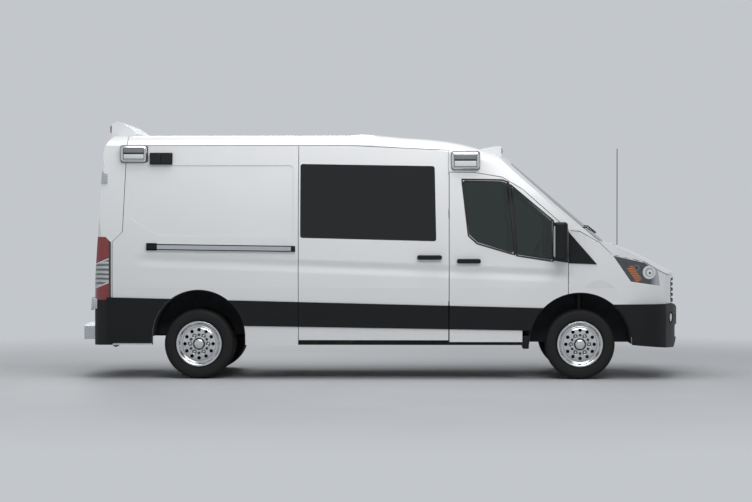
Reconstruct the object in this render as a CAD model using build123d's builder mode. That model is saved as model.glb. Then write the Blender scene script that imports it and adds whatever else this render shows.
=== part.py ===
"""Van-type ambulance: a panel van with a raised roof, warning lamps and twin rear wheels.

Millimetres. +X points to the front, +Y to the left and +Z up. The origin lies on the ground,
under the middle of the vehicle's box.
"""

import os
from math import atan2, cos, degrees, radians, sin, tan

from build123d import *

# Driving dimensions: overall
LENGTH = 5980
WHEELBASE = 3750
FRONT_OVERHANG = 1023
GAP = 6
SEAT_GAP = 0.3
DOOR_REAR_GAP = 12
WALL = 50

X_FRONT = LENGTH / 2
X_REAR = -LENGTH / 2
X_FRONT_AXLE = X_FRONT - FRONT_OVERHANG
X_REAR_AXLE = X_FRONT_AXLE - WHEELBASE

# Driving dimensions: body section, half widths and heights
SILL_HALF = 985
SILL_Z = 335
WAIST_HALF = 1015
WAIST_Z = 900
UPPER_HALF = 992
UPPER_Z = 1600
DRIP_HALF = 900
DRIP_Z = 2300
SHOULDER_HALF = 838
SHOULDER_Z = 2360
CROWN_HALF = 690
CROWN_Z = 2398
ROOF_Z = 2422
FLOOR_TOP = 700
FLOOR_PLATE = 50
UNDERBODY_HALF = 900

# Driving dimensions: wheels
TYRE_R = 345
TYRE_WIDTH = 195
RIM_R = 222
TRACK_FRONT = 1740
TRACK_REAR = 1735
TWIN_SPACING = 225
FRONT_ARCH_R = 505
FRONT_ARCH_Z = 350
REAR_ARCH_R = 460
REAR_ARCH_Z = 420
STEER_DEG = 35

# Driving dimensions: ladder frame
RAIL_Y = 430
RAIL_WIDTH = 70
RAIL_Z = (520, FLOOR_TOP - FLOOR_PLATE)
CROSS_X = (-2700, -1100, -200, 700, 1150)

# Driving dimensions: body lengths
TAIL_X = X_REAR + 170
TAIL_LEAN = 100
TAIL_CORNER_R = 130
B_PILLAR_X = 680
SLIDER_REAR_X = -800
DOOR_FRONT_X = 1850
SCREEN_TOP = (1260, 2200)
SCREEN_BASE = (2290, 1328)
SCREEN_SWEEP = 100
NOSE_X = X_FRONT - 35
NOSE_TAPER_X = 2000
NOSE_TAPER = 215
NOSE_DEPTH = 140

WIDE = 1400
TALL = 3200


def section(x, drop, inset, floor_z):
    """One body cross-section at x, its roof lowered by drop and every wall moved in by inset."""
    lower = [(-(SILL_HALF - inset), floor_z), (SILL_HALF - inset, floor_z)]
    drip_z = DRIP_Z - drop
    waist = (WAIST_HALF - inset, max(WAIST_Z, floor_z + 1))
    upper = (UPPER_HALF - inset, UPPER_Z)
    drip = (DRIP_HALF - inset, drip_z)
    shoulder = (SHOULDER_HALF - inset, SHOULDER_Z - drop - inset)
    crown = (CROWN_HALF - inset, CROWN_Z - drop - inset)
    top = (0, ROOF_Z - drop - inset)
    with BuildSketch(Plane.YZ.offset(x)) as face:
        with BuildLine():
            Line(lower[0], lower[1])
            Line(lower[1], waist)
            ThreePointArc(waist, upper, drip)
            ThreePointArc(drip, shoulder, crown)
            ThreePointArc(crown, top, (-crown[0], crown[1]))
            ThreePointArc((-crown[0], crown[1]), (-shoulder[0], shoulder[1]), (-drip[0], drip[1]))
            ThreePointArc((-drip[0], drip[1]), (-upper[0], upper[1]), (-waist[0], waist[1]))
            Line((-waist[0], waist[1]), lower[0])
        make_face()
    return face.sketch


# Columns: station along X, roof drop there
ROOF_STATIONS = (
    (-300, 0), (100, 12), (500, 42), (900, 110), (1340, 255), (1750, 365), (2200, 420), (X_FRONT + 200, 440),
)
# Columns: station along X, hood height at the far side, hood height on the centre line
HOOD_STATIONS = ((2050, 1326, 1385), (2600, 1095, 1225), (2870, 855, 1085), (X_FRONT + 100, 700, 970))
SCREEN_SLOPE = atan2(SCREEN_TOP[1] - SCREEN_BASE[1], SCREEN_BASE[0] - SCREEN_TOP[0])


def hood_section(x, side_z, middle_z, inset):
    """The space above the hood at x."""
    with BuildSketch(Plane.YZ.offset(x)) as space:
        with BuildLine():
            ThreePointArc((-WIDE, side_z - inset), (0, middle_z - inset), (WIDE, side_z - inset))
            Polyline((WIDE, side_z - inset), (WIDE, TALL), (-WIDE, TALL), (-WIDE, side_z - inset))
        make_face()
    return space.sketch


def screen_across(inset):
    """Plane across the windscreen, its second axis along the screen's outward normal."""
    return Plane(
        origin=(SCREEN_BASE[0] - inset * sin(SCREEN_SLOPE), 0, SCREEN_BASE[1] - inset * cos(SCREEN_SLOPE)),
        x_dir=(0, 1, 0),
        z_dir=(cos(SCREEN_SLOPE), 0, -sin(SCREEN_SLOPE)),
    )


def above_hood(inset):
    """The space above the hood and ahead of the tail, every surface moved in by inset."""
    with BuildPart() as space:
        extrude(hood_section(*HOOD_STATIONS[0], inset), amount=-HOOD_STATIONS[0][0])
        for station in HOOD_STATIONS:
            add(hood_section(*station, inset))
        loft()
    return space.part


def envelope(inset, floor_z):
    """The closed outer form of the body, every surface moved in by inset."""
    with BuildPart() as above_screen:
        with BuildSketch(screen_across(inset)):
            with BuildLine():
                ThreePointArc((-WIDE, -SCREEN_SWEEP * 2), (0, 0), (WIDE, -SCREEN_SWEEP * 2))
                Polyline((WIDE, -SCREEN_SWEEP * 2), (WIDE, TALL), (-WIDE, TALL), (-WIDE, -SCREEN_SWEEP * 2))
            make_face()
        extrude(amount=TALL, both=True)
    with BuildPart() as form:
        rear_end, no_drop = ROOF_STATIONS[0]
        extrude(section(rear_end, no_drop, inset, floor_z), amount=X_REAR - rear_end)
        for x, drop in ROOF_STATIONS:
            add(section(x, drop, inset, floor_z))
        loft()
        extrude(plan_outline(inset), amount=TALL, mode=Mode.INTERSECT)
        extrude(tail_outline(inset), amount=WIDE, both=True, mode=Mode.INTERSECT)
        add(above_screen.part & above_hood(inset), mode=Mode.SUBTRACT)
    return form.part


def plan_outline(inset):
    """Body outline seen from above: rounded tail corners and a bowed nose."""
    tail = TAIL_X + inset
    nose = NOSE_X - inset
    corner = WAIST_HALF - inset
    tail_side = tail + TAIL_CORNER_R
    nose_side = nose - NOSE_DEPTH
    with BuildSketch() as outline:
        with BuildLine():
            Line((NOSE_TAPER_X, corner), (tail_side, corner))
            RadiusArc((tail_side, corner), (tail, corner - TAIL_CORNER_R), -TAIL_CORNER_R)
            Line((tail, corner - TAIL_CORNER_R), (tail, -(corner - TAIL_CORNER_R)))
            RadiusArc((tail, -(corner - TAIL_CORNER_R)), (tail_side, -corner), -TAIL_CORNER_R)
            Line((tail_side, -corner), (NOSE_TAPER_X, -corner))
            ThreePointArc((NOSE_TAPER_X, -corner), (2480, -(corner - 38)), (nose_side, -(corner - NOSE_TAPER)))
            ThreePointArc((nose_side, -(corner - NOSE_TAPER)), (nose, 0), (nose_side, corner - NOSE_TAPER))
            ThreePointArc((nose_side, corner - NOSE_TAPER), (2480, corner - 38), (NOSE_TAPER_X, corner))
        make_face()
    return outline.sketch


def tail_outline(inset):
    """Body outline seen from the side, which leans the tail forward and rounds its top."""
    tail = TAIL_X + inset
    lean_top = (tail + TAIL_LEAN, 2120)
    round_end = (tail + TAIL_LEAN + 170, ROOF_Z + 20)
    with BuildSketch(Plane.XZ) as outline:
        with BuildLine():
            Polyline((tail, 0), (tail, 900), lean_top)
            ThreePointArc(lean_top, (tail + TAIL_LEAN + 55, 2370), round_end)
            Polyline(round_end, (X_FRONT, ROOF_Z + 60), (X_FRONT, 0), (tail, 0))
        make_face()
    return outline.sketch


RIGHT, LEFT = 1, -1
SIDES = (("right", RIGHT), ("left", LEFT))


def polygon(*points, plane=Plane.XZ, radius=0):
    """A closed outline on a plane, its corners rounded by radius."""
    with BuildSketch(plane) as outline:
        with BuildLine():
            Polyline(*points, close=True)
        make_face()
        if radius:
            fillet(outline.vertices(), radius)
    return outline.sketch


def side_piece(stock, outline, side):
    """The part of the stock inside a side-view outline, on one side of the vehicle."""
    with BuildPart() as piece:
        add(stock)
        extrude(outline, amount=side * WIDE, mode=Mode.INTERSECT)
    return piece.part


def cut(stock, *tools):
    """The stock with the tools taken out."""
    with BuildPart() as piece:
        add(stock)
        for tool in tools:
            add(tool, mode=Mode.SUBTRACT)
    return piece.part


def prism(outline, side=0):
    """A side-view outline run across the vehicle, or across one side of it."""
    with BuildPart() as bar:
        if side:
            extrude(outline, amount=side * WIDE)
        else:
            extrude(outline, amount=WIDE, both=True)
    return bar.part


def block(x, y, z, radius=0):
    """A box between low and high limits along each axis, its upright edges rounded."""
    with BuildPart() as box:
        with BuildSketch(Plane.XY.offset(z[0])):
            with Locations(((x[0] + x[1]) / 2, (y[0] + y[1]) / 2)):
                if radius:
                    RectangleRounded(x[1] - x[0], y[1] - y[0], radius)
                else:
                    Rectangle(x[1] - x[0], y[1] - y[0])
        extrude(amount=z[1] - z[0])
    return box.part


def sided(side, low, high):
    """The span between two distances from the centre plane, on one side."""
    return (-high, -low) if side == RIGHT else (low, high)


NODES = {}


def keep(name, *solids):
    """Files a finished piece under its node's name."""
    found = [solid for shape in solids for solid in shape.solids()]
    NODES[name] = found[0] if len(found) == 1 else Compound(children=found)
    NODES[name].label = name


# The body's closed forms: outside, inside, the glass layer and the cladding layer
GLASS_IN, GLASS_OUT = 9, 3
CLADDING = 10
LAMP_DEPTH = 40
OUTER = envelope(0, SILL_Z)
INNER = envelope(WALL, FLOOR_TOP)
GLASS = envelope(GLASS_OUT, SILL_Z) - envelope(GLASS_IN, SILL_Z - 10)
CLAD = envelope(-CLADDING, SILL_Z) - OUTER
LAMPS = OUTER - envelope(LAMP_DEPTH, SILL_Z - 10)

# Wheel arches and the open underside
ARCHES = (
    # axle x, arch centre height, arch radius, inner wall of the wheelhouse
    (X_FRONT_AXLE, FRONT_ARCH_Z, FRONT_ARCH_R, 565),
    (X_REAR_AXLE, REAR_ARCH_Z, REAR_ARCH_R, 520),
)
with BuildPart() as arch_room:
    for axle_x, arch_z, arch_r, inner_y in ARCHES:
        with BuildSketch(Plane.XZ.offset(inner_y)):
            with Locations((axle_x, arch_z)):
                Circle(arch_r)
            with Locations((axle_x, arch_z / 2)):
                Rectangle(2 * arch_r, arch_z)
        extrude(amount=WIDE - inner_y)
    mirror(about=Plane.XZ)

SHELL = cut(
    OUTER,
    INNER,
    block((TAIL_X + WALL, 1400), (-UNDERBODY_HALF, UNDERBODY_HALF), (0, FLOOR_TOP - FLOOR_PLATE)),
    block((1400, X_FRONT), (-WIDE, WIDE), (0, FLOOR_TOP - FLOOR_PLATE)),
    arch_room.part,
)
FLOOR_HALF = SILL_HALF - WALL - GAP
FLOOR_ZONE = block((TAIL_X + WALL + GAP, 2000), (-FLOOR_HALF, FLOOR_HALF), (0, FLOOR_TOP))
WALLS = cut(SHELL, block((TAIL_X + WALL + GAP / 2, X_FRONT), (-FLOOR_HALF - GAP / 2, FLOOR_HALF + GAP / 2), (0, FLOOR_TOP + 1)))

# Panel seams in side view
DRIP_SEAM = ((X_REAR, DRIP_Z), (-300, DRIP_Z), (B_PILLAR_X, DRIP_Z - 47))
TAIL_SEAM = ((-2495, ROOF_Z + 50), (-2535, 1450), (-2637, 1350), (-2637, 0))
TAIL_SEAM_TOP = -2505
BODY_TOP = ROOF_Z + 100


def under_drip(rear_x, front_x, bottom_z):
    """Side-view outline of a body panel between two upright seams, under the drip seam."""
    half = GAP / 2
    top = [(x, z - half) for x, z in DRIP_SEAM[1:2] if rear_x < x < front_x]
    return polygon((rear_x, bottom_z), (rear_x, DRIP_Z - half), *top, (front_x, drip_z(front_x) - half), (front_x, bottom_z))


def drip_z(x):
    """Height of the drip seam at x."""
    (x0, z0), (x1, z1) = DRIP_SEAM[1:]
    return z0 if x < x0 else z0 + (z1 - z0) * (x - x0) / (x1 - x0)


TAIL_ZONE = polygon((X_REAR, 0), *[(x, z) for x, z in reversed(TAIL_SEAM)], (X_REAR, ROOF_Z + 50))
TAIL_BACK = polygon((X_REAR - GAP, 0), *[(x + GAP, z) for x, z in reversed(TAIL_SEAM)], (X_REAR - GAP, ROOF_Z + 50))
ROOF_ZONE = polygon(
    (TAIL_SEAM_TOP - 40, DRIP_Z + GAP / 2),
    (-300, DRIP_Z + GAP / 2),
    (B_PILLAR_X - GAP / 2, DRIP_SEAM[2][1] + GAP / 2),
    (B_PILLAR_X - GAP / 2, BODY_TOP),
    (TAIL_SEAM_TOP - 40, BODY_TOP),
)
DOOR_OUTLINE = (
    (B_PILLAR_X + DOOR_REAR_GAP / 2, 368),
    (B_PILLAR_X + DOOR_REAR_GAP / 2, 2034),
    (930, 2030),
    (1200, 1985),
    (1400, 1868),
    (DOOR_FRONT_X - GAP / 2, 1468),
    (DOOR_FRONT_X - GAP / 2, 368),
)
DOOR_ZONE = polygon(*DOOR_OUTLINE)
HOOD_SEAM = ((2155, 1345), (2277, 1226), (2603, 1153), (2741, 1070), (2829, 1026), (X_FRONT, 1000))
HOOD_HEEL = 1358
HOOD_ZONE = polygon(
    (2100, 1600), (2100, HOOD_HEEL), (2150, HOOD_HEEL), *[(x, z + GAP / 2) for x, z in HOOD_SEAM], (X_FRONT, 1600)
)
HOOD_REAR_MIDDLE = 2312
HOOD_REAR_SIDE = 2031


def hood_plan(shift):
    """The space ahead of the hood's bowed rear edge, that edge moved back by shift."""
    with BuildPart() as ahead:
        with BuildSketch():
            with BuildLine():
                rear = HOOD_REAR_SIDE - shift
                ThreePointArc((rear, -WIDE), (HOOD_REAR_MIDDLE - shift, 0), (rear, WIDE))
                Polyline((rear, WIDE), (X_FRONT, WIDE), (X_FRONT, -WIDE), (rear, -WIDE))
            make_face()
        extrude(amount=TALL)
    return ahead.part


def seam_z(x):
    """Height of the seam between hood and wing over the headlamp."""
    (x0, z0), (x1, z1) = HOOD_SEAM[1:3]
    return z0 + (z1 - z0) * (x - x0) / (x1 - x0)



BUMPER_TOP = 738
WING_ZONE = polygon(
    (DOOR_FRONT_X + GAP / 2, BUMPER_TOP + SEAT_GAP),
    (DOOR_FRONT_X + GAP / 2, 1462),
    (1967, 1448),
    *[(x, z - GAP / 2) for x, z in HOOD_SEAM],
    (X_FRONT, BUMPER_TOP + SEAT_GAP),
)
HEADLAMP_OUTLINE = ((2286, 1216), (2603, 1145), (2738, 1064), (2758, 918), (2462, 962))
GRILLE_HALF = 560

# Windows in side view
SLIDER_WINDOW = polygon((-782, 1390), (-782, 2118), (540, 2096), (556, 1356), radius=24)
DROP_WINDOW = polygon((815, 1955), (1195, 1948), (1258, 1926), (1318, 1236), (960, 1346), (880, 1420), radius=22)
QUARTER_WINDOW = polygon((1290, 1900), (1690, 1553), (1690, 1172), (1350, 1226), radius=14)


def pane(outline, side):
    """A pane of the glass layer that seats in its window with a small gap all round."""
    with BuildSketch(Plane.XZ) as inner:
        add(outline)
        offset(amount=-SEAT_GAP, mode=Mode.REPLACE)
    return side_piece(GLASS, inner.sketch, side)


keep("floor_pan", SHELL & FLOOR_ZONE)
roof = (WALLS & prism(ROOF_ZONE)) - prism(TAIL_BACK)
keep("roof_panel", roof)
# Shallow pressed fields stiffen the tall blank side panels
PRESS_DEPTH = 6
PRESSED = OUTER - envelope(PRESS_DEPTH, SILL_Z - 10)
QUARTER_FIELD = polygon((-2454, 1573), (-2417, 2105), (-850, 2105), (-850, 1407), (-2172, 1407), radius=40)
MIDDLE_FIELD = polygon((-750, 1407), (-750, 2105), (590, 2092), (590, 1392), radius=40)
quarter = side_piece(WALLS, under_drip(X_REAR, SLIDER_REAR_X - GAP / 2, 0), RIGHT) - prism(TAIL_BACK)
keep("side_panel_right", quarter - side_piece(PRESSED, QUARTER_FIELD, RIGHT))
left_side = side_piece(WALLS, under_drip(X_REAR, B_PILLAR_X - DOOR_REAR_GAP / 2, 0), LEFT) - prism(TAIL_BACK)
left_fields = [side_piece(PRESSED, field, LEFT) for field in (QUARTER_FIELD, MIDDLE_FIELD)]
keep("side_panel_left", cut(left_side, *left_fields))
slider = side_piece(WALLS, under_drip(SLIDER_REAR_X + GAP / 2, B_PILLAR_X - DOOR_REAR_GAP / 2, 385), RIGHT)
keep("sliding_door", slider - prism(SLIDER_WINDOW, RIGHT))
keep("sliding_door_glass", pane(SLIDER_WINDOW, RIGHT))

for name, side in SIDES:
    door = side_piece(WALLS, DOOR_ZONE, side)
    keep(f"front_door_{name}", cut(door, prism(DROP_WINDOW, side), prism(QUARTER_WINDOW, side)))
    keep(f"front_door_glass_{name}", pane(DROP_WINDOW, side), pane(QUARTER_WINDOW, side))



def grown(outline, amount):
    """An outline with its edge moved out by amount."""
    with BuildSketch(Plane.XZ) as wider:
        add(outline)
        offset(amount=amount, kind=Kind.INTERSECTION, mode=Mode.REPLACE)
    return wider.sketch


# Cab frame: roof cap, header, A-pillars and cowl around the windscreen
SCREEN_LENGTH = ((SCREEN_BASE[0] - SCREEN_TOP[0]) ** 2 + (SCREEN_TOP[1] - SCREEN_BASE[1]) ** 2) ** 0.5
SCREEN_PLANE = Plane(
    origin=(SCREEN_BASE[0], 0, SCREEN_BASE[1]),
    x_dir=(0, 1, 0),
    z_dir=(sin(SCREEN_SLOPE), 0, cos(SCREEN_SLOPE)),
)
SCREEN_POINTS = ((800, 75), (770, 700), (620, SCREEN_LENGTH - 75))
SCREEN_RADIUS = 60


def screen_shape(shrink):
    """The windscreen's outline on its mean plane, its edge moved in by shrink."""
    with BuildSketch(SCREEN_PLANE) as shape:
        with BuildLine():
            Polyline(*SCREEN_POINTS, *[(-y, up) for y, up in reversed(SCREEN_POINTS)], close=True)
        make_face()
        fillet(shape.vertices(), SCREEN_RADIUS)
        if shrink:
            offset(amount=-shrink, mode=Mode.REPLACE)
    return shape.sketch


with BuildPart() as screen_hole:
    extrude(screen_shape(0), amount=400, both=True)
with BuildPart() as screen_glass:
    with BuildSketch(screen_across(0)):
        with BuildLine():
            outer_edge = -SCREEN_SWEEP * 2 - GLASS_OUT
            inner_edge = -SCREEN_SWEEP * 2 - GLASS_IN
            ThreePointArc((-WIDE, outer_edge), (0, -GLASS_OUT), (WIDE, outer_edge))
            Line((WIDE, outer_edge), (WIDE, inner_edge))
            ThreePointArc((WIDE, inner_edge), (0, -GLASS_IN), (-WIDE, inner_edge))
            Line((-WIDE, inner_edge), (-WIDE, outer_edge))
        make_face()
    extrude(amount=TALL, both=True)
    extrude(screen_shape(SEAT_GAP), amount=400, both=True, mode=Mode.INTERSECT)
CAB_REAR = B_PILLAR_X - GAP / 2 + SEAT_GAP
CAB_ZONE = polygon((CAB_REAR, 1000), (CAB_REAR, BODY_TOP), (2400, BODY_TOP), (2400, 1000))
cab = cut(
    WALLS & prism(CAB_ZONE),
    prism(grown(DOOR_ZONE, GAP)),
    prism(grown(WING_ZONE, GAP)),
    prism(grown(HOOD_ZONE, GAP)) & hood_plan(GAP),
    screen_hole.part,
)
keep("cab_frame", max(cab.solids(), key=lambda solid: solid.volume))
keep("windscreen", screen_glass.part)

# Nose: hinged hood, wings, lamps and grille
keep("hood", SHELL & prism(HOOD_ZONE) & hood_plan(0))
HEADLAMP_ZONE = polygon(*HEADLAMP_OUTLINE)
GRILLE_TOP = 988
GRILLE_BASE = BUMPER_TOP + GAP
with BuildPart() as grille_room:
    with BuildSketch(Plane.YZ.offset(2600)):
        with Locations((0, (GRILLE_TOP + GRILLE_BASE) / 2)):
            RectangleRounded(2 * GRILLE_HALF, GRILLE_TOP - GRILLE_BASE, 40)
    extrude(amount=600)
HOOD_STOP_X = (2540, 2580)
HOOD_STOP_Y = (925, 945)
HOOD_STOP_FOOT = 4
headlamps = []
for name, side in SIDES:
    outer_half = block((1800, X_FRONT), sided(side, GRILLE_HALF + GAP, WIDE), (0, TALL))
    lower_half = block((1800, X_FRONT), sided(side, 0.5, WIDE), (0, GRILLE_TOP + GAP))
    wing = cut(
        side_piece(SHELL, WING_ZONE, side),
        prism(HEADLAMP_ZONE, side) & outer_half,
        grille_room.part,
    )
    stop_outline = [(x, seam_z(x) + GAP / 2 - SEAT_GAP) for x in HOOD_STOP_X]
    stop_outline += [(x, seam_z(x) - HOOD_STOP_FOOT) for x in reversed(HOOD_STOP_X)]
    with BuildPart() as stopped_wing:
        add(max(wing.solids(), key=lambda solid: solid.volume))
        add(prism(polygon(*stop_outline), side) & block(HOOD_STOP_X, sided(side, *HOOD_STOP_Y), (0, TALL)))
    keep(f"wing_{name}", stopped_wing.part)
    lamp = side_piece(LAMPS, grown(HEADLAMP_ZONE, -SEAT_GAP), side) & outer_half
    headlamps.append(lamp)
keep("headlamps", *headlamps)
GRILLE_SLOTS = 4
GRILLE_RIB = 22
with BuildPart() as grille:
    add(LAMPS & grille_room.part)
    pitch = (GRILLE_TOP - GRILLE_BASE) / (GRILLE_SLOTS + 0.6)
    with BuildSketch(Plane.YZ.offset(2600)):
        with Locations((0, (GRILLE_TOP + GRILLE_BASE) / 2)):
            with GridLocations(0, pitch, 1, GRILLE_SLOTS):
                RectangleRounded(2 * GRILLE_HALF - 90, pitch - GRILLE_RIB, 8)
    extrude(amount=600, mode=Mode.SUBTRACT)
keep("grille", grille.part)

# Tail: fixed frame, hinged doors and lamps
REAR_DOOR_HALF = 890
REAR_DOOR_BASE = 640
REAR_DOOR_TOP = 2235
REAR_DOOR_ROUND = 70
REAR_DOOR_SPLIT = 10
TAIL_LAMP_Z = (780, 1400)
with BuildPart() as rear_opening:
    with BuildSketch(Plane.YZ.offset(X_REAR)):
        with Locations((0, (REAR_DOOR_BASE + REAR_DOOR_TOP) / 2)):
            RectangleRounded(2 * REAR_DOOR_HALF, REAR_DOOR_TOP - REAR_DOOR_BASE, REAR_DOOR_ROUND)
    extrude(amount=400)
with BuildPart() as rear_door_room:
    with BuildSketch(Plane.YZ.offset(X_REAR)):
        with Locations((0, (REAR_DOOR_BASE + REAR_DOOR_TOP) / 2)):
            RectangleRounded(
                2 * (REAR_DOOR_HALF - GAP), REAR_DOOR_TOP - REAR_DOOR_BASE - 2 * GAP, REAR_DOOR_ROUND - GAP
            )
    extrude(amount=400)
TAIL_LAMP_ZONE = polygon(
    (X_REAR, TAIL_LAMP_Z[0]), (X_REAR, TAIL_LAMP_Z[1]), (-2700, TAIL_LAMP_Z[1]), (-2645, 1345), (-2645, TAIL_LAMP_Z[0])
)
lamp_rooms, tail_lamps = [], []
for name, side in SIDES:
    room = prism(TAIL_LAMP_ZONE, side) & block((X_REAR, 0), sided(side, REAR_DOOR_HALF + 20, WIDE), (0, TALL))
    lamp_rooms.append(room & LAMPS)
    seat = prism(grown(TAIL_LAMP_ZONE, -SEAT_GAP), side)
    tail_lamps.append(
        LAMPS & seat & block((X_REAR, 0), sided(side, REAR_DOOR_HALF + 20 + SEAT_GAP, WIDE), (0, TALL))
    )
frame = cut(WALLS & prism(TAIL_ZONE), rear_opening.part, *lamp_rooms)
keep("rear_frame", max(frame.solids(), key=lambda solid: solid.volume))
keep("tail_lamps", *tail_lamps)
REAR_WINDOW_Y = (110, 770)
REAR_WINDOW_Z = (1420, 2060)
REAR_WINDOW_ROUND = 60


def rear_window(side, shrink):
    """The window of one rear door, run through the tail wall."""
    low, high = sided(side, *REAR_WINDOW_Y)
    with BuildPart() as room:
        with BuildSketch(Plane.YZ.offset(X_REAR)):
            with Locations(((low + high) / 2, sum(REAR_WINDOW_Z) / 2)):
                RectangleRounded(
                    high - low - 2 * shrink, REAR_WINDOW_Z[1] - REAR_WINDOW_Z[0] - 2 * shrink, REAR_WINDOW_ROUND - shrink
                )
        extrude(amount=400)
    return room.part


for name, side in SIDES:
    half = block((X_REAR, -2600), sided(side, REAR_DOOR_SPLIT / 2, WIDE), (0, TALL))
    leaf = cut(WALLS & rear_door_room.part & half, rear_window(side, 0))
    keep(f"rear_door_{name}", max(leaf.solids(), key=lambda solid: solid.volume))
    keep(f"rear_door_glass_{name}", GLASS & rear_window(side, SEAT_GAP) & block((X_REAR, -2600), (-WIDE, WIDE), (0, TALL)))

# Wheelhouses: arched liners with an inner wall
LINER = 8
with BuildPart() as wheelhouses:
    for axle_x, arch_z, arch_r, inner_y in ARCHES:
        with BuildSketch(Plane.XZ.offset(inner_y)):
            with Locations((axle_x, arch_z)):
                Circle(arch_r)
                Circle(arch_r - LINER, mode=Mode.SUBTRACT)
            with Locations((axle_x, arch_z - arch_r / 2)):
                Rectangle(3 * arch_r, arch_r, mode=Mode.SUBTRACT)
        extrude(amount=SILL_HALF - 15 - inner_y)
        with BuildSketch(Plane.XZ.offset(inner_y)):
            with Locations((axle_x, arch_z)):
                Circle(arch_r - LINER / 2)
            with Locations((axle_x, arch_z - arch_r / 2)):
                Rectangle(3 * arch_r, arch_r, mode=Mode.SUBTRACT)
        extrude(amount=LINER)
    mirror(about=Plane.XZ)
keep("wheelhouses", wheelhouses.part)
# Front bumper: a deep moulded wrap with a lower intake and a tow-eye socket
BUMPER_WALL = 80
BUMPER_BASE = 300
BUMPER_SIDE_X = X_FRONT_AXLE + FRONT_ARCH_R + 6
BUMPER_HALF = 1010
BUMPER_TAPER = 150
BUMPER_DEPTH = 170
INTAKE_Z = (390, 520)
TOW_EYE_R = 9
TOW_EYE_DEPTH = 70
TOW_EYE_X = 2920
TOW_BOSS_R = 26
TOW_EYE_Y = -430
TOW_EYE_Z = 600
with BuildPart() as bumper:
    with BuildSketch():
        with BuildLine():
            front = X_FRONT - BUMPER_DEPTH
            edge = BUMPER_HALF - BUMPER_TAPER
            ThreePointArc((front, -edge), (X_FRONT, 0), (front, edge))
            ThreePointArc((front, edge), (front - 90, BUMPER_HALF - 62), (BUMPER_SIDE_X, BUMPER_HALF))
            Line((BUMPER_SIDE_X, BUMPER_HALF), (BUMPER_SIDE_X, -BUMPER_HALF))
            ThreePointArc((BUMPER_SIDE_X, -BUMPER_HALF), (front - 90, -(BUMPER_HALF - 62)), (front, -edge))
        make_face()
        with BuildLine():
            inner_x = X_FRONT - BUMPER_WALL
            inner_edge = edge - BUMPER_WALL
            ThreePointArc((front - 40, -inner_edge), (inner_x, 0), (front - 40, inner_edge))
            Line((front - 40, inner_edge), (BUMPER_SIDE_X - 50, BUMPER_HALF - BUMPER_WALL))
            Line((BUMPER_SIDE_X - 50, BUMPER_HALF - BUMPER_WALL), (BUMPER_SIDE_X - 50, -(BUMPER_HALF - BUMPER_WALL)))
            Line((BUMPER_SIDE_X - 50, -(BUMPER_HALF - BUMPER_WALL)), (front - 40, -inner_edge))
        make_face(mode=Mode.SUBTRACT)
    extrude(amount=BUMPER_TOP)
    with BuildSketch(Plane.XZ):
        with BuildLine():
            Polyline((BUMPER_SIDE_X, BUMPER_BASE + 40), (BUMPER_SIDE_X, BUMPER_TOP), (X_FRONT - 90, BUMPER_TOP))
            ThreePointArc((X_FRONT - 90, BUMPER_TOP), (X_FRONT - 16, BUMPER_TOP - 50), (X_FRONT, BUMPER_TOP - 150))
            ThreePointArc((X_FRONT, BUMPER_TOP - 150), (X_FRONT - 16, BUMPER_BASE + 120), (X_FRONT - 70, BUMPER_BASE))
            Polyline((X_FRONT - 70, BUMPER_BASE), (BUMPER_SIDE_X, BUMPER_BASE + 40))
        make_face()
    extrude(amount=WIDE, both=True, mode=Mode.INTERSECT)
    with BuildSketch(Plane.YZ.offset(X_FRONT - 300)):
        with Locations((0, sum(INTAKE_Z) / 2)):
            RectangleRounded(960, INTAKE_Z[1] - INTAKE_Z[0], 40)
    extrude(amount=400, mode=Mode.SUBTRACT)
    with BuildSketch(Plane.YZ.offset(TOW_EYE_X - TOW_EYE_DEPTH)):
        with Locations((TOW_EYE_Y, TOW_EYE_Z)):
            Circle(TOW_BOSS_R)
    extrude(amount=TOW_EYE_DEPTH)
    with BuildSketch(Plane.YZ.offset(TOW_EYE_X)):
        with Locations((TOW_EYE_Y, TOW_EYE_Z)):
            Circle(TOW_BOSS_R)
    extrude(amount=200, mode=Mode.SUBTRACT)
    with BuildSketch(Plane.YZ.offset(TOW_EYE_X - TOW_EYE_DEPTH)):
        with Locations((TOW_EYE_Y, TOW_EYE_Z)):
            Circle(TOW_EYE_R)
    extrude(amount=TOW_EYE_DEPTH, mode=Mode.SUBTRACT)
# Moulded in four runs, so that the intake between them stays open
half_seat = SEAT_GAP / 2
upper_run = block((0, X_FRONT), (-WIDE, WIDE), (INTAKE_Z[1] + half_seat, TALL))
lower_run = block((0, X_FRONT), (-WIDE, WIDE), (0, INTAKE_Z[0] - half_seat))
side_runs = block((0, X_FRONT), (-WIDE, WIDE), (INTAKE_Z[0] + half_seat, INTAKE_Z[1] - half_seat))
runs = [solid for run in (upper_run, lower_run, side_runs) for solid in (bumper.part & run).solids()]
keep("front_bumper", *runs)

# Wheels: steel rims under bright covers, with lug nuts and a hub cap
HUB_BORE_R = 40.3
STUB_R = 40
RIM_SEAT_R = 204
TYRE_SEAT_GAP = 0.3
BEAD_HALF = 79.7
BEAD_TOP = 226
TYRE_SHOULDER = 26
SIDEWALL_R = 290
LUGS = 6
LUG_PCD = 180
LUG_R = 14
HAND_HOLES = 12
HAND_HOLE_R = 17
HAND_HOLE_PCD = 278


def wheel_plane(x, z):
    """Plane through a wheel's axis: local x runs across the vehicle, local y upwards."""
    return Plane(origin=(x, 0, z), x_dir=(0, 1, 0), z_dir=(1, 0, 0))


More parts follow.
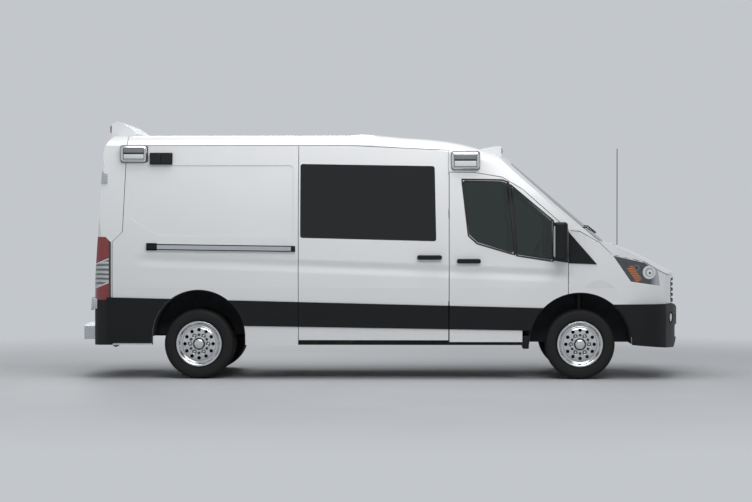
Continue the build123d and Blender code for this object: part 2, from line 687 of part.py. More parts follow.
def tyre(x, z, centre_y):
    """One tyre, its section revolved about its axle."""
    half = TYRE_WIDTH / 2
    with BuildPart() as ring:
        with BuildSketch(wheel_plane(x, z)):
            with BuildLine():
                Polyline(
                    (centre_y + BEAD_HALF, BEAD_TOP), (centre_y + BEAD_HALF, RIM_SEAT_R),
                    (centre_y - BEAD_HALF, RIM_SEAT_R), (centre_y - BEAD_HALF, BEAD_TOP),
                )
                ThreePointArc(
                    (centre_y - BEAD_HALF, BEAD_TOP),
                    (centre_y - half, SIDEWALL_R - 15),
                    (centre_y - half + TYRE_SHOULDER, TYRE_R - 5),
                )
                ThreePointArc(
                    (centre_y - half + TYRE_SHOULDER, TYRE_R - 5),
                    (centre_y, TYRE_R),
                    (centre_y + half - TYRE_SHOULDER, TYRE_R - 5),
                )
                ThreePointArc(
                    (centre_y + half - TYRE_SHOULDER, TYRE_R - 5),
                    (centre_y + half, SIDEWALL_R - 15),
                    (centre_y + BEAD_HALF, BEAD_TOP),
                )
            make_face()
        revolve(axis=Axis((x, 0, z), (0, 1, 0)))
    return ring.part


# Rim section columns: distance outboard of the tyre's middle, radius
FRONT_RIM = (
    (92, RIM_R), (92, RIM_R - 14), (76, 193), (64, 176), (78, 150), (86, 62), (98, 56), (106, 38), (108, 0),
    (88, 0), (88, HUB_BORE_R), (40, HUB_BORE_R), (40, 140), (20, 182), (-88, 190), (-88, RIM_R), (-80, RIM_R),
    (-80, RIM_SEAT_R - TYRE_SEAT_GAP), (80, RIM_SEAT_R - TYRE_SEAT_GAP), (80, RIM_R),
)
MATING_FACE = -TWIN_SPACING / 2
REAR_RIM = (
    (92, RIM_R), (92, RIM_R - 14), (76, 193), (64, 176), (78, 150), (86, 62), (98, 56), (106, 38), (108, 0),
    (-40, 0), (-40, HUB_BORE_R), (MATING_FACE, HUB_BORE_R), (MATING_FACE, 164), (-88, 182),
    (-88, RIM_R), (-80, RIM_R), (-80, RIM_SEAT_R - TYRE_SEAT_GAP), (80, RIM_SEAT_R - TYRE_SEAT_GAP), (80, RIM_R),
)
# The hollow between the rear cover and the twin's mating disc
REAR_HOLLOW = ((-98, 60), (-98, 150), (-92, 158), (-40, 184), (48, 174), (66, 150), (74, 60))
INNER_RIM = (
    (92, RIM_R), (92, RIM_R - 14), (76, 193), (-40, 188), (-92, 158), (-98, 150), (-98, HUB_BORE_R),
    (MATING_FACE, HUB_BORE_R), (MATING_FACE, 164), (-88, 182),
    (-88, RIM_R), (-80, RIM_R), (-80, RIM_SEAT_R - TYRE_SEAT_GAP), (80, RIM_SEAT_R - TYRE_SEAT_GAP), (80, RIM_R),
)


def rim(x, z, centre_y, outboard, profile):
    """One rim with its cover, from a section table, revolved about its axle."""
    with BuildPart() as disc:
        with BuildSketch(wheel_plane(x, z)):
            with BuildLine():
                Polyline(*[(centre_y + outboard * out, radius) for out, radius in profile], close=True)
            make_face()
        revolve(axis=Axis((x, 0, z), (0, 1, 0)))
    return disc.part


def wheel(x, z, outboard, profile, centre_y, lug_out, hole_out, hollow=()):
    """A rim with hand holes and lug nuts on its outboard face, hollow behind its cover if asked."""
    facing = Plane(origin=(x, centre_y, z), x_dir=(1, 0, 0), z_dir=(0, outboard, 0))
    with BuildPart() as built:
        add(rim(x, z, centre_y, outboard, profile))
        if hollow:
            add(rim(x, z, centre_y, outboard, hollow), mode=Mode.SUBTRACT)
        with BuildSketch(facing.offset(hole_out - 60)):
            with PolarLocations(HAND_HOLE_PCD / 2, HAND_HOLES):
                Circle(HAND_HOLE_R)
        extrude(amount=130, mode=Mode.SUBTRACT)
        with BuildSketch(facing.offset(lug_out - 10)):
            with PolarLocations(LUG_PCD / 2, LUGS, start_angle=30):
                RegularPolygon(LUG_R, 6)
        extrude(amount=34)
    return built.part


FRONT_Y = TRACK_FRONT / 2
REAR_Y = TRACK_REAR / 2
AXLE_Z = TYRE_R
for name, side in SIDES:
    out = -side
    front_centre = out * FRONT_Y
    rear_centre = out * REAR_Y
    inner_centre = out * (REAR_Y - TWIN_SPACING)
    keep(f"front_tyre_{name}", tyre(X_FRONT_AXLE, AXLE_Z, front_centre))
    keep(f"front_wheel_{name}", wheel(X_FRONT_AXLE, AXLE_Z, out, FRONT_RIM, front_centre, 86, 70))
    keep(f"rear_tyres_{name}", tyre(X_REAR_AXLE, AXLE_Z, rear_centre), tyre(X_REAR_AXLE, AXLE_Z, inner_centre))
    with BuildPart() as twin:
        add(wheel(X_REAR_AXLE, AXLE_Z, out, REAR_RIM, rear_centre, 86, 85, REAR_HOLLOW))
        add(rim(X_REAR_AXLE, AXLE_Z, inner_centre, -out, INNER_RIM))
    keep(f"rear_wheels_{name}", twin.part)

# Front suspension: knuckles with stub axles, lower arms and a subframe
KINGPIN_Y = 735
KNUCKLE_Z = (235, 450)
BALL_PIN_R = 18
ARM_Z = (196, 228)
PIN_GAP = 0.3
for name, side in SIDES:
    out = -side
    with BuildPart() as knuckle:
        add(block((X_FRONT_AXLE - 45, X_FRONT_AXLE + 45), sided(side, KINGPIN_Y - 40, KINGPIN_Y + 40), KNUCKLE_Z, 20))
        with BuildSketch(Plane(origin=(X_FRONT_AXLE, out * KINGPIN_Y, AXLE_Z), x_dir=(1, 0, 0), z_dir=(0, out, 0))):
            Circle(STUB_R)
        extrude(amount=FRONT_Y + 80 - KINGPIN_Y)
        with BuildSketch(Plane.XY.offset(KNUCKLE_Z[1])):
            with Locations((X_FRONT_AXLE, out * KINGPIN_Y)):
                Circle(32)
        extrude(amount=835 - KNUCKLE_Z[1])
        with BuildSketch(Plane.XY.offset(KNUCKLE_Z[0])):
            with Locations((X_FRONT_AXLE, out * KINGPIN_Y)):
                Circle(BALL_PIN_R)
        extrude(amount=ARM_Z[0] - 8 - KNUCKLE_Z[0])
    keep(f"knuckle_{name}", knuckle.part)
SUBFRAME_HALF = 420
with BuildPart() as subframe:
    add(block((X_FRONT_AXLE - 160, X_FRONT_AXLE + 160), (-SUBFRAME_HALF, SUBFRAME_HALF), (ARM_Z[0], ARM_Z[1] + 40), 40))
    for name, side in SIDES:
        out = -side
        with BuildSketch(Plane.XY.offset(ARM_Z[0])):
            with BuildLine():
                Polyline(
                    (X_FRONT_AXLE - 150, out * (SUBFRAME_HALF - 20)),
                    (X_FRONT_AXLE - 32, out * (KINGPIN_Y + 10)),
                    (X_FRONT_AXLE + 32, out * (KINGPIN_Y + 10)),
                    (X_FRONT_AXLE + 150, out * (SUBFRAME_HALF - 20)),
                    close=True,
                )
            make_face()
            with Locations((X_FRONT_AXLE, out * KINGPIN_Y)):
                Circle(34)
                Circle(BALL_PIN_R + PIN_GAP, mode=Mode.SUBTRACT)
        extrude(amount=ARM_Z[1] - ARM_Z[0])
    for x in (X_FRONT_AXLE - 120, X_FRONT_AXLE + 120):
        for y in (-RAIL_Y, RAIL_Y):
            add(block((x - 30, x + 30), (y - 30, y + 30), (ARM_Z[1] + 40, RAIL_Z[0] - SEAT_GAP)))

# Ladder frame under the floor
RAIL_X = (TAIL_X + WALL + SEAT_GAP, X_FRONT - 330)
CROSS_HALF = RAIL_Y - RAIL_WIDTH / 2 - SEAT_GAP
rails = [block(RAIL_X, (y - RAIL_WIDTH / 2, y + RAIL_WIDTH / 2), RAIL_Z) for y in (-RAIL_Y, RAIL_Y)]
crosses = [block((x - 40, x + 40), (-CROSS_HALF, CROSS_HALF), (RAIL_Z[0] + 20, RAIL_Z[1] - 20)) for x in CROSS_X]
keep("chassis_frame", *rails, *crosses, subframe.part)

# Rear axle: beam, differential and hub stubs, on leaf springs
BEAM_R = 50
with BuildPart() as rear_axle:
    with BuildSketch(Plane.XZ.offset(-(REAR_Y - 55))):
        with Locations((X_REAR_AXLE, AXLE_Z)):
            Circle(STUB_R)
    extrude(amount=2 * (REAR_Y - 55))
    with BuildSketch(Plane.XZ.offset(-(REAR_Y - TWIN_SPACING - 170))):
        with Locations((X_REAR_AXLE, AXLE_Z)):
            Circle(BEAM_R)
    extrude(amount=2 * (REAR_Y - TWIN_SPACING - 170))
    with BuildSketch(wheel_plane(X_REAR_AXLE, AXLE_Z)):
        with BuildLine():
            Polyline((-190, 0), (-190, 60), (-110, 125), (110, 125), (190, 60), (190, 0), close=True)
        make_face()
    revolve(axis=Axis((X_REAR_AXLE, 0, AXLE_Z), (0, 1, 0)))
SPRING_WIDTH = 70
SPRING_LEAF = 14
SPRING_REACH = 650
with BuildPart() as springs:
    for y in (-RAIL_Y, RAIL_Y):
        with BuildSketch(Plane.XZ.offset(-y - SPRING_WIDTH / 2)):
            with BuildLine():
                low = AXLE_Z + BEAM_R
                high = RAIL_Z[0]
                x0, x1 = X_REAR_AXLE - SPRING_REACH, X_REAR_AXLE + SPRING_REACH
                ThreePointArc((x0, high), (X_REAR_AXLE, low), (x1, high))
                Line((x1, high), (x1 - 40, high))
                ThreePointArc((x1 - 40, high), (X_REAR_AXLE, low + 3 * SPRING_LEAF), (x0 + 40, high))
                Line((x0 + 40, high), (x0, high))
            make_face()
        extrude(amount=SPRING_WIDTH)
keep("rear_axle", rear_axle.part, springs.part)

# Drive line: engine block, propeller shaft, exhaust and fuel tank
GEARBOX_X = (1250, 2080)
engine = block((GEARBOX_X[1], 2640), (-270, 270), (430, 1040))
SHAFT_R = 42
with BuildPart() as shaft:
    with BuildSketch(Plane.YZ.offset(X_REAR_AXLE + 100)):
        with Locations((0, AXLE_Z)):
            Circle(SHAFT_R)
    with BuildSketch(Plane.YZ.offset(GEARBOX_X[0] - SEAT_GAP)):
        with Locations((0, 470)):
            Circle(SHAFT_R)
    loft()
    add(rear_axle.part, mode=Mode.SUBTRACT)
gearbox = block((GEARBOX_X[0], GEARBOX_X[1] - SEAT_GAP), (-150, 150), (400, 640))
keep("drive_line", engine, gearbox, shaft.part)
PIPE_R = 32
EXHAUST_Y = -250
with BuildPart() as exhaust:
    with BuildLine() as route:
        FilletPolyline(
            (1200, EXHAUST_Y, 400), (-1000, EXHAUST_Y, 400), (-1330, EXHAUST_Y, 570), (-2250, EXHAUST_Y, 570),
            (-2560, EXHAUST_Y, 400), (-2640, -700, 330), radius=90,
        )
    with BuildSketch(Plane(route.line @ 0, z_dir=route.line % 0)):
        Circle(PIPE_R)
    sweep()
    add(block((-700, 100), (EXHAUST_Y - 110, EXHAUST_Y + 110), (310, 490), 60))
    add(block((-220, -180), (EXHAUST_Y - 20, EXHAUST_Y + 20), (480, RAIL_Z[0] + 20)))
keep("exhaust", exhaust.part)
keep("fuel_tank", block((-650, 650), (520, 880), (380, FLOOR_TOP - FLOOR_PLATE), 60))

# Cab: bulkheads, dashboard, steering wheel and seats
cabin = INNER - arch_room.part
wall_room = block((X_REAR, X_FRONT), (-860, 860), (0, TALL))
firewall = cabin & block((2012, 2032), (-WIDE, WIDE), (FLOOR_TOP, 1330))
partition = cabin & block((560, 585), (-WIDE, WIDE), (FLOOR_TOP, TALL))
keep("bulkheads", firewall, partition)
with BuildPart() as dash:
    with BuildSketch(Plane.XZ):
        with BuildLine():
            Polyline((1690, 930), (1650, 1060), (1680, 1190), (1800, 1240), (2012, 1262), (2012, 930), close=True)
        make_face()
    extrude(amount=WIDE, both=True)
    add(cabin, mode=Mode.INTERSECT)
    add(wall_room, mode=Mode.INTERSECT)
keep("dashboard", dash.part)
WHEEL_CENTRE = (1560, 420, 1175)
COLUMN_TILT = 25
wheel_face = Plane(origin=WHEEL_CENTRE, x_dir=(0, 1, 0), z_dir=(-cos(radians(COLUMN_TILT)), 0, sin(radians(COLUMN_TILT))))
with BuildPart() as steering:
    with BuildSketch(Plane(origin=WHEEL_CENTRE, x_dir=(0, 1, 0), z_dir=wheel_face.y_dir)):
        with Locations((190, 0)):
            Circle(15)
    revolve(axis=Axis(WHEEL_CENTRE, wheel_face.z_dir))
    with BuildSketch(wheel_face.offset(-20)):
        Circle(70)
        with PolarLocations(110, 3, start_angle=90):
            Rectangle(160, 36)
    extrude(amount=24)
    with BuildSketch(wheel_face.offset(-20)):
        Circle(38)
    extrude(amount=-170)
    add(dash.part, mode=Mode.SUBTRACT)
keep("steering_wheel", steering.part)
seats = []
SEAT_Y = 430
SEAT_HALF = 250
for y in (-SEAT_Y, SEAT_Y):
    with BuildPart() as seat:
        with BuildSketch(Plane.XZ.offset(-y - SEAT_HALF)):
            with BuildLine():
                Polyline(
                    (800, FLOOR_TOP), (800, 980), (640, 1700), (740, 1730), (900, 1130), (1340, 1150), (1380, 1020), (1300, FLOOR_TOP),
                    close=True,
                )
            make_face()
        extrude(amount=2 * SEAT_HALF)
        fillet(seat.edges().filter_by(Axis.Y), 24)
    seats.append(seat.part)
keep("seats", *seats)

# Cladding: black lower bands on the sides and doors, and the mirror triangles
BAND_TOP = ((X_REAR, 812), (X_FRONT_AXLE, 694))
BAND_BASE = ((X_REAR, 548), (X_FRONT_AXLE, 474))


def band_z(edge, x):
    """Height of one edge of the band at x."""
    (x0, z0), (x1, z1) = edge
    return z0 + (z1 - z0) * (x - x0) / (x1 - x0)


def band(rear_x, front_x, base=BAND_BASE):
    """Side-view outline of a stretch of the band."""
    return polygon(
        (rear_x, band_z(base, rear_x)),
        (rear_x, band_z(BAND_TOP, rear_x)),
        (front_x, band_z(BAND_TOP, front_x)),
        (front_x, band_z(base, front_x)),
    )


TAIL_BAND_BASE = ((X_REAR, 352), (X_FRONT_AXLE, 352))
TAIL_BAND_REAR = TAIL_X + TAIL_CORNER_R
# Columns: rear end, front end, lower edge
RIGHT_BANDS = (
    (TAIL_BAND_REAR, X_REAR_AXLE, TAIL_BAND_BASE),
    (X_REAR_AXLE, SLIDER_REAR_X - GAP / 2, BAND_BASE),
    (SLIDER_REAR_X + GAP / 2, B_PILLAR_X - DOOR_REAR_GAP / 2, BAND_BASE),
)
LEFT_BANDS = (
    (TAIL_BAND_REAR, X_REAR_AXLE, TAIL_BAND_BASE),
    (X_REAR_AXLE, B_PILLAR_X - DOOR_REAR_GAP / 2, BAND_BASE),
)
open_clad = CLAD - arch_room.part
bands = [side_piece(open_clad, band(*row), side) for rows, side in ((RIGHT_BANDS, RIGHT), (LEFT_BANDS, LEFT)) for row in rows]
DOOR_BAND = band(B_PILLAR_X + DOOR_REAR_GAP / 2, DOOR_FRONT_X - GAP / 2)
WING_TRIM = polygon((DOOR_FRONT_X + GAP / 2, 1142), (DOOR_FRONT_X + GAP / 2, 1448), (2128, 1132))
wing_trims = [side_piece(CLAD, WING_TRIM, side) for name, side in SIDES]

# Mirrors: tall housings on a short arm, with a triangular foot on the door
MIRROR_HALF = 1237
MIRROR_X = (1705, 1835)
MIRROR_Y = 1062
MIRROR_Z = (1165, 1545)
MIRROR_FOOT = polygon((1694, 1168), (1694, 1556), (1845, 1458), (1845, 1148))
for name, side in SIDES:
    out = -side
    with BuildPart() as mirror_head:
        with BuildSketch(Plane.XY.offset(MIRROR_Z[0])):
            with Locations(((MIRROR_X[0] + MIRROR_X[1]) / 2, out * (MIRROR_Y + MIRROR_HALF) / 2)):
                RectangleRounded(MIRROR_X[1] - MIRROR_X[0], MIRROR_HALF - MIRROR_Y, 50)
        extrude(amount=MIRROR_Z[1] - MIRROR_Z[0])
        fillet(mirror_head.edges().group_by(Axis.Z)[-1], 30)
        fillet(mirror_head.edges().group_by(Axis.Z)[0], 30)
        add(block((1740, 1810), sided(side, 985, MIRROR_Y + 40), (1200, 1270)))
        add(OUTER, mode=Mode.SUBTRACT)
        add(side_piece(CLAD, MIRROR_FOOT, side))
    keep(f"mirror_{name}", mirror_head.part)

# Warning lamps, scene lights and roof lamp fairings
# Columns: rear x, front x, low z, high z
SIDE_LAMPS = ((-2555, -2295, 2138, 2298), (706, 980, 2062, 2238))
SCENE_LIGHT = (-2268, -2046, 2112, 2228)


def boss(x0, x1, z0, z1, side, stand_off, radius):
    """A rounded housing that stands off the body side and seats on its surface."""
    with BuildPart() as housing:
        with BuildSketch(Plane.XZ.offset(side * 800)):
            with Locations(((x0 + x1) / 2, (z0 + z1) / 2)):
                RectangleRounded(x1 - x0, z1 - z0, radius)
        extrude(amount=side * (stand_off - 800))
        add(OUTER, mode=Mode.SUBTRACT)
    return max(housing.part.solids(), key=lambda solid: solid.volume)


side_lamps = [boss(*row, side, 985, 36) for name, side in SIDES for row in SIDE_LAMPS]
keep("scene_lights", *[boss(*SCENE_LIGHT, side, 962, 6) for name, side in SIDES])
FRONT_POD_HALF = 560
REAR_POD_HALF = 600
LENS_X = 1205
with BuildPart() as front_pod:
    with BuildSketch(Plane.XZ):
        with BuildLine():
            Polyline((930, 2150), (930, 2262), (1165, 2304), (LENS_X, 2298), (LENS_X, 2050), close=True)
        make_face()
    extrude(amount=FRONT_POD_HALF, both=True)
    add(OUTER, mode=Mode.SUBTRACT)
with BuildPart() as rear_pod:
    with BuildSketch(Plane.XZ):
        with BuildLine():
            Polyline((-2440, 2330), (-2440, 2430))
            ThreePointArc((-2440, 2430), (-2540, 2506), (-2636, 2550))
            Polyline((-2636, 2550), (-2690, 2532), (-2700, 2300), (-2440, 2330))
        make_face()
    extrude(amount=REAR_POD_HALF, both=True)
    add(OUTER, mode=Mode.SUBTRACT)
keep("lamp_fairings", *[max(pod.part.solids(), key=lambda solid: solid.volume) for pod in (front_pod, rear_pod)])
with BuildPart() as roof_lamps:
    with BuildSketch(Plane.YZ.offset(LENS_X)):
        with Locations((0, 2258)):
            with GridLocations(350, 0, 3, 1):
                RectangleRounded(310, 56, 16)
    extrude(amount=18)
    with BuildSketch(Plane.YZ.offset(-2660)):
        with Locations((0, 2472)):
            with GridLocations(390, 0, 3, 1):
                RectangleRounded(340, 84, 20)
    extrude(amount=-52)
    add(rear_pod.part, mode=Mode.SUBTRACT)
keep("warning_lamps", *side_lamps, roof_lamps.part)

# Handles, slide rail, tail step and antenna
HANDLE_OUT = 1048
for name, side in SIDES:
    keep(f"door_trim_{name}", side_piece(open_clad, DOOR_BAND, side), boss(757, 992, 1140, 1184, side, HANDLE_OUT, 20))
keep("side_trim", *bands, *wing_trims, boss(368, 612, 1176, 1220, RIGHT, HANDLE_OUT, 20))
RAIL_OUT = 1034
with BuildPart() as slide_rail:
    with BuildSketch(Plane.XZ.offset(800)):
        with BuildLine():
            Polyline((-2292, 1265), (-2292, 1335), (-828, 1308), (-828, 1252), close=True)
        make_face()
    extrude(amount=RAIL_OUT - 800)
    add(OUTER, mode=Mode.SUBTRACT)
keep("slide_rail", max(slide_rail.part.solids(), key=lambda solid: solid.volume))
STEP_HALF = 860
STEP_END_X = -2931
STEP_Z = (385, 515)
with BuildPart() as tail_step:
    with BuildSketch(Plane.XY.offset(STEP_Z[0])):
        with BuildLine():
            ThreePointArc((STEP_END_X, -STEP_HALF), (X_REAR, 0), (STEP_END_X, STEP_HALF))
            Polyline((STEP_END_X, STEP_HALF), (TAIL_X, STEP_HALF), (TAIL_X, -STEP_HALF), (STEP_END_X, -STEP_HALF))
        make_face()
    extrude(amount=STEP_Z[1] - STEP_Z[0])
keep("tail_step", tail_step.part)
ANTENNA_X = (2450, 2490)
ANTENNA_Y = (940, 1034)
ANTENNA_TOP = 2320
BRACKET = 2
with BuildPart() as antenna:
    with BuildSketch(Plane.XZ.offset(-ANTENNA_Y[0])):
        with BuildLine():
            lower = [(x, seam_z(x) - GAP / 2) for x in ANTENNA_X]
            Polyline(*lower, *[(x, z + BRACKET) for x, z in reversed(lower)], close=True)
        make_face()
    extrude(amount=-(ANTENNA_Y[1] - ANTENNA_Y[0]))
    mast_x = sum(ANTENNA_X) / 2
    base_z = seam_z(mast_x) - GAP / 2
    with BuildSketch(Plane.XY.offset(base_z)):
        with Locations((mast_x, ANTENNA_Y[1] - 18)):
            Circle(16)
    extrude(amount=40)
    with BuildSketch(Plane.XY.offset(base_z)):
        with Locations((mast_x, ANTENNA_Y[1] - 18)):
            Circle(4)
    extrude(amount=ANTENNA_TOP - base_z)
keep("antenna", antenna.part)

for name, node in NODES.items():
    print(name, len(node.solids()), round(node.volume / 1e6, 2), "litres", node.is_valid)
os.makedirs("parts", exist_ok=True)
for name, node in NODES.items():
    export_step(node, f"parts/{name}.step")
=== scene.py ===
from math import cos, pi, radians, sin

import bpy
import bmesh
from mathutils import Matrix, Vector
from mathutils.bvhtree import BVHTree


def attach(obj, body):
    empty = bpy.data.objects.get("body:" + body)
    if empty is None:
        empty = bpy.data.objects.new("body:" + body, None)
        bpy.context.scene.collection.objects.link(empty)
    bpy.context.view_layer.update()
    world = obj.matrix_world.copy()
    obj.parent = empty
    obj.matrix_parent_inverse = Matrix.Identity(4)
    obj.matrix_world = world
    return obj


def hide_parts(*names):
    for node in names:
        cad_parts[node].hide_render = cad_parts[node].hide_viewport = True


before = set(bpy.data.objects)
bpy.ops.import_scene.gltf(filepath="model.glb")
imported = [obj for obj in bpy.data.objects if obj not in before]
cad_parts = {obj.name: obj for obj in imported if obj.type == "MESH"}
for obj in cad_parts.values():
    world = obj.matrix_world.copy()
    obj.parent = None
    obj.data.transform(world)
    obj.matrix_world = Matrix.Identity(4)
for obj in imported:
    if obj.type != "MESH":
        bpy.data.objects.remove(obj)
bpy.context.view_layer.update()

# Ladder frame, floor pan and fuel tank: pressed steel under a matt black chassis wax, put
# together before the body goes on. Road dust settles on it in soft patches.


def linear(code):
    """An sRGB hex colour as linear RGBA."""
    parts = [int(code[place:place + 2], 16) / 255 for place in (1, 3, 5)]
    parts = [part / 12.92 if part <= 0.04045 else ((part + 0.055) / 1.055) ** 2.4 for part in parts]
    return (*parts, 1.0)


def add_node(tree, kind, settings=None, links=None):
    """A shader node with its settings, by property or input, and its links, by input."""
    node = tree.nodes.new("ShaderNode" + kind)
    for name, value in (settings or {}).items():
        if not isinstance(name, int) and hasattr(node, name):
            setattr(node, name, value)
        else:
            node.inputs[name].default_value = value
    for name, source in (links or {}).items():
        tree.links.new(source, node.inputs[name])
    return node


def new_finish(name, values):
    """A material with even values on its shader's own sockets, that shader, and its coordinates."""
    material = bpy.data.materials.new(name)
    material.use_nodes = True
    shader = material.node_tree.nodes["Principled BSDF"]
    for socket, value in values.items():
        shader.inputs[socket].default_value = value
    return material, shader, add_node(material.node_tree, "TexCoord").outputs["Object"]


def feed(shader, name, value):
    """Links a value to one of a shader's inputs."""
    shader.id_data.links.new(value, shader.inputs[name])


def remap(value, start, end, low=0.0, high=1.0, kind="LINEAR"):
    """A value moved from one range to another."""
    settings = {"From Min": start, "From Max": end, "To Min": low, "To Max": high, "interpolation_type": kind}
    return add_node(value.id_data, "MapRange", settings, {"Value": value}).outputs["Result"]


def noise(place, scale, detail):
    """Cloudy noise over a set of coordinates."""
    settings = {"Scale": scale, "Detail": detail}
    return add_node(place.id_data, "TexNoise", settings, {"Vector": place}).outputs["Fac"]


def blend(value, low, high):
    """A colour between two hex colours by a value."""
    settings = {"data_type": "RGBA", 6: linear(low), 7: linear(high)}
    return add_node(value.id_data, "Mix", settings, {0: value}).outputs[2]


def tint(shader, value, low, high):
    """Varies a shader's colour between two hex colours."""
    feed(shader, "Base Color", blend(value, low, high))


def vary_gloss(shader, value, low, high):
    """Varies a shader's roughness between two values."""
    feed(shader, "Roughness", remap(value, 0.0, 1.0, low, high))


def emboss(shader, value, strength, distance):
    """Raises a value as relief on a shader."""
    settings = {"Strength": strength, "Distance": distance}
    feed(shader, "Normal", add_node(shader.id_data, "Bump", settings, {"Height": value}).outputs["Normal"])


def dress(material, *names):
    """Gives CAD nodes their finish."""
    for name in names:
        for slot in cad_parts[name].material_slots:
            slot.material = material


chassis_wax, shader, place = new_finish("black_chassis_wax", {"IOR": 1.45, "Specular IOR Level": 0.3})
# Dust patches about 120 mm across over a spray texture 6 mm across
patches = noise(place, 8.0, 6.0)
dust = remap(patches, 0.45, 0.75)
tint(shader, dust, "#17181A", "#35332F")
vary_gloss(shader, patches, 0.5, 0.85)
spray = noise(place, 160.0, 2.0)
emboss(shader, spray, 0.25, 0.001)
dress(chassis_wax, "chassis_frame", "floor_pan", "fuel_tank")

# Wheel house liners and cab bulkheads: needled felt pressed onto board, plain mid grey and
# clipped to the inner panels.
felt, shader, place = new_finish("needled_felt", {"Specular IOR Level": 0.2})
# Fibres 3 mm long over blotches of dust about 90 mm across
fibres = noise(place, 330.0, 3.0)
blotch = noise(place, 11.0, 5.0)
tint(shader, blotch, "#2C2D2F", "#45474A")
vary_gloss(shader, fibres, 0.8, 0.98)
emboss(shader, fibres, 0.4, 0.001)
dress(felt, "wheelhouses", "bulkheads")

# Axle, springs, shaft and steering knuckles: cast and forged iron, left dark with a
# thin brown bloom of oxide where stones have chipped the primer.
cast_iron, shader, place = new_finish("cast_iron", {"Metallic": 0.85})
bloom = noise(place, 25.0, 8.0)
share = remap(bloom, 0.5, 0.7)
tint(shader, share, "#2E2E30", "#4A3528")
vary_gloss(shader, bloom, 0.42, 0.75)
sand = noise(place, 350.0, 1.0)
emboss(shader, sand, 0.3, 0.001)
dress(cast_iron, "rear_axle", "drive_line", "knuckle_right", "knuckle_left")

# Exhaust: aluminised steel tube, rolled and seam welded, hung from the floor. Heat has
# turned it a warm straw grey in bands.
aluminised, shader, place = new_finish("aluminised_steel", {"Metallic": 1.0})
bands = noise(place, 5.0, 4.0)
tint(shader, bands, "#7E7C78", "#5E5347")
vary_gloss(shader, bands, 0.3, 0.55)
dress(aluminised, "exhaust")

# Tyres: vulcanised rubber moulded with four grooves round and slots across each shoulder,
# pressed onto the rims. Single at the front, twinned on each side at the back.
TREAD_PITCHES = 72
PITCH_STEPS = 4
TREAD_R, TREAD_FLOOR = 0.34, 0.325
# Columns: slots' near and far distance from the tyre's middle, depth
SLOTS = ((0.057, 0.087, 0.007), (0.025, 0.047, 0.003))
FRONT_AXLE = Vector((1.967, 0.870, 0.345))
REAR_AXLE = Vector((-1.783, 0.8675, 0.345))
RIGHT_SIDE = Vector((1, -1, 1))
TWIN_SPACING = 0.225
# Columns: distance from the tyre's middle, radius, in mm, from the bead to the crown
TYRE_HALF = (
    (79.7, 205), (79.7, 225), (85, 233), (90, 242), (92.5, 244), (93, 248), (95, 258), (97, 272),
    (97.2, 286), (96, 299), (97, 301), (96.5, 305), (92, 318), (86, 329), (78, 337), (70, 340.4),
    (57, 341.8), (56, 334), (48, 334.3), (47, 342.6), (25, 344), (24, 336), (16, 336.2), (15, 344.5),
    (0, 344.9),
)


def start_piece(name):
    """A new mesh of one point at the origin, open in edit mode."""
    bpy.ops.object.select_all(action="DESELECT")
    bpy.ops.mesh.primitive_plane_add(size=0.01, location=(0, 0, 0))
    piece = bpy.context.object
    piece.name = piece.data.name = name
    bpy.ops.object.mode_set(mode="EDIT")
    bpy.ops.mesh.select_mode(type="VERT")
    bpy.ops.mesh.select_all(action="SELECT")
    bpy.ops.mesh.merge(type="CENTER")
    return piece


def draw_line(points):
    """Moves the one point to the first place and extrudes it along the others."""
    bpy.ops.transform.translate(value=points[0])
    for before, after in zip(points, points[1:]):
        bpy.ops.mesh.extrude_vertices_move(TRANSFORM_OT_translate={"value": Vector(after) - Vector(before)})
    bpy.ops.mesh.select_all(action="SELECT")


def pick_faces(test):
    """Selects, in edit mode, the faces whose middle and normal pass a test."""
    mesh = bmesh.from_edit_mesh(bpy.context.object.data)
    bpy.ops.mesh.select_mode(type="FACE")
    for face in mesh.faces:
        face.select_set(test(face.calc_center_median(), face.normal))
    bmesh.update_edit_mesh(bpy.context.object.data)


def close_piece(piece, angle=30):
    """Merges doubles, turns the faces outwards and smooths the shading."""
    bpy.ops.mesh.select_all(action="SELECT")
    bpy.ops.mesh.remove_doubles(threshold=0.00005)
    bpy.ops.mesh.normals_make_consistent(inside=False)
    bpy.ops.object.mode_set(mode="OBJECT")
    bpy.ops.object.shade_smooth_by_angle(angle=radians(angle))
    return piece


def copy_piece(piece, name, shift=(0, 0, 0), turned=False):
    """A copy with its own mesh, turned about the upright axis if asked, then moved."""
    twin = piece.copy()
    twin.data = piece.data.copy()
    twin.name = twin.data.name = name
    bpy.context.scene.collection.objects.link(twin)
    if turned:
        twin.data.transform(Matrix.Rotation(pi, 4, "Z"))
    twin.data.transform(Matrix.Translation(shift))
    return twin


def make_active(piece):
    """Selects one piece alone and makes it the active one."""
    bpy.ops.object.select_all(action="DESELECT")
    piece.select_set(True)
    bpy.context.view_layer.objects.active = piece


def join_pieces(name, first, *others):
    """Joins other meshes into the first and names the whole."""
    make_active(first)
    for piece in others:
        piece.select_set(True)
    bpy.ops.object.join()
    first.name = first.data.name = name
    return first


tyre_rubber, shader, place = new_finish("tyre_rubber", {"IOR": 1.52, "Specular IOR Level": 0.35})
# Carbon-black rubber: a grey bloom in patches about 60 mm across, mould grain 2 mm across
bloom = noise(place, 16.0, 7.0)
tint(shader, bloom, "#0C0C0D", "#171718")
vary_gloss(shader, bloom, 0.55, 0.85)
grain = noise(place, 500.0, 2.0)
emboss(shader, grain, 0.2, 0.0005)

tyre = start_piece("tyre_front_right")
section = TYRE_HALF + tuple((-across, radius) for across, radius in reversed(TYRE_HALF[:-1]))
draw_line([(0, across / 1000, radius / 1000) for across, radius in section + section[:1]])
pitch = 2 * pi / TREAD_PITCHES
bpy.ops.mesh.spin(steps=PITCH_STEPS, angle=pitch, center=(0, 0, 0), axis=(0, 1, 0))
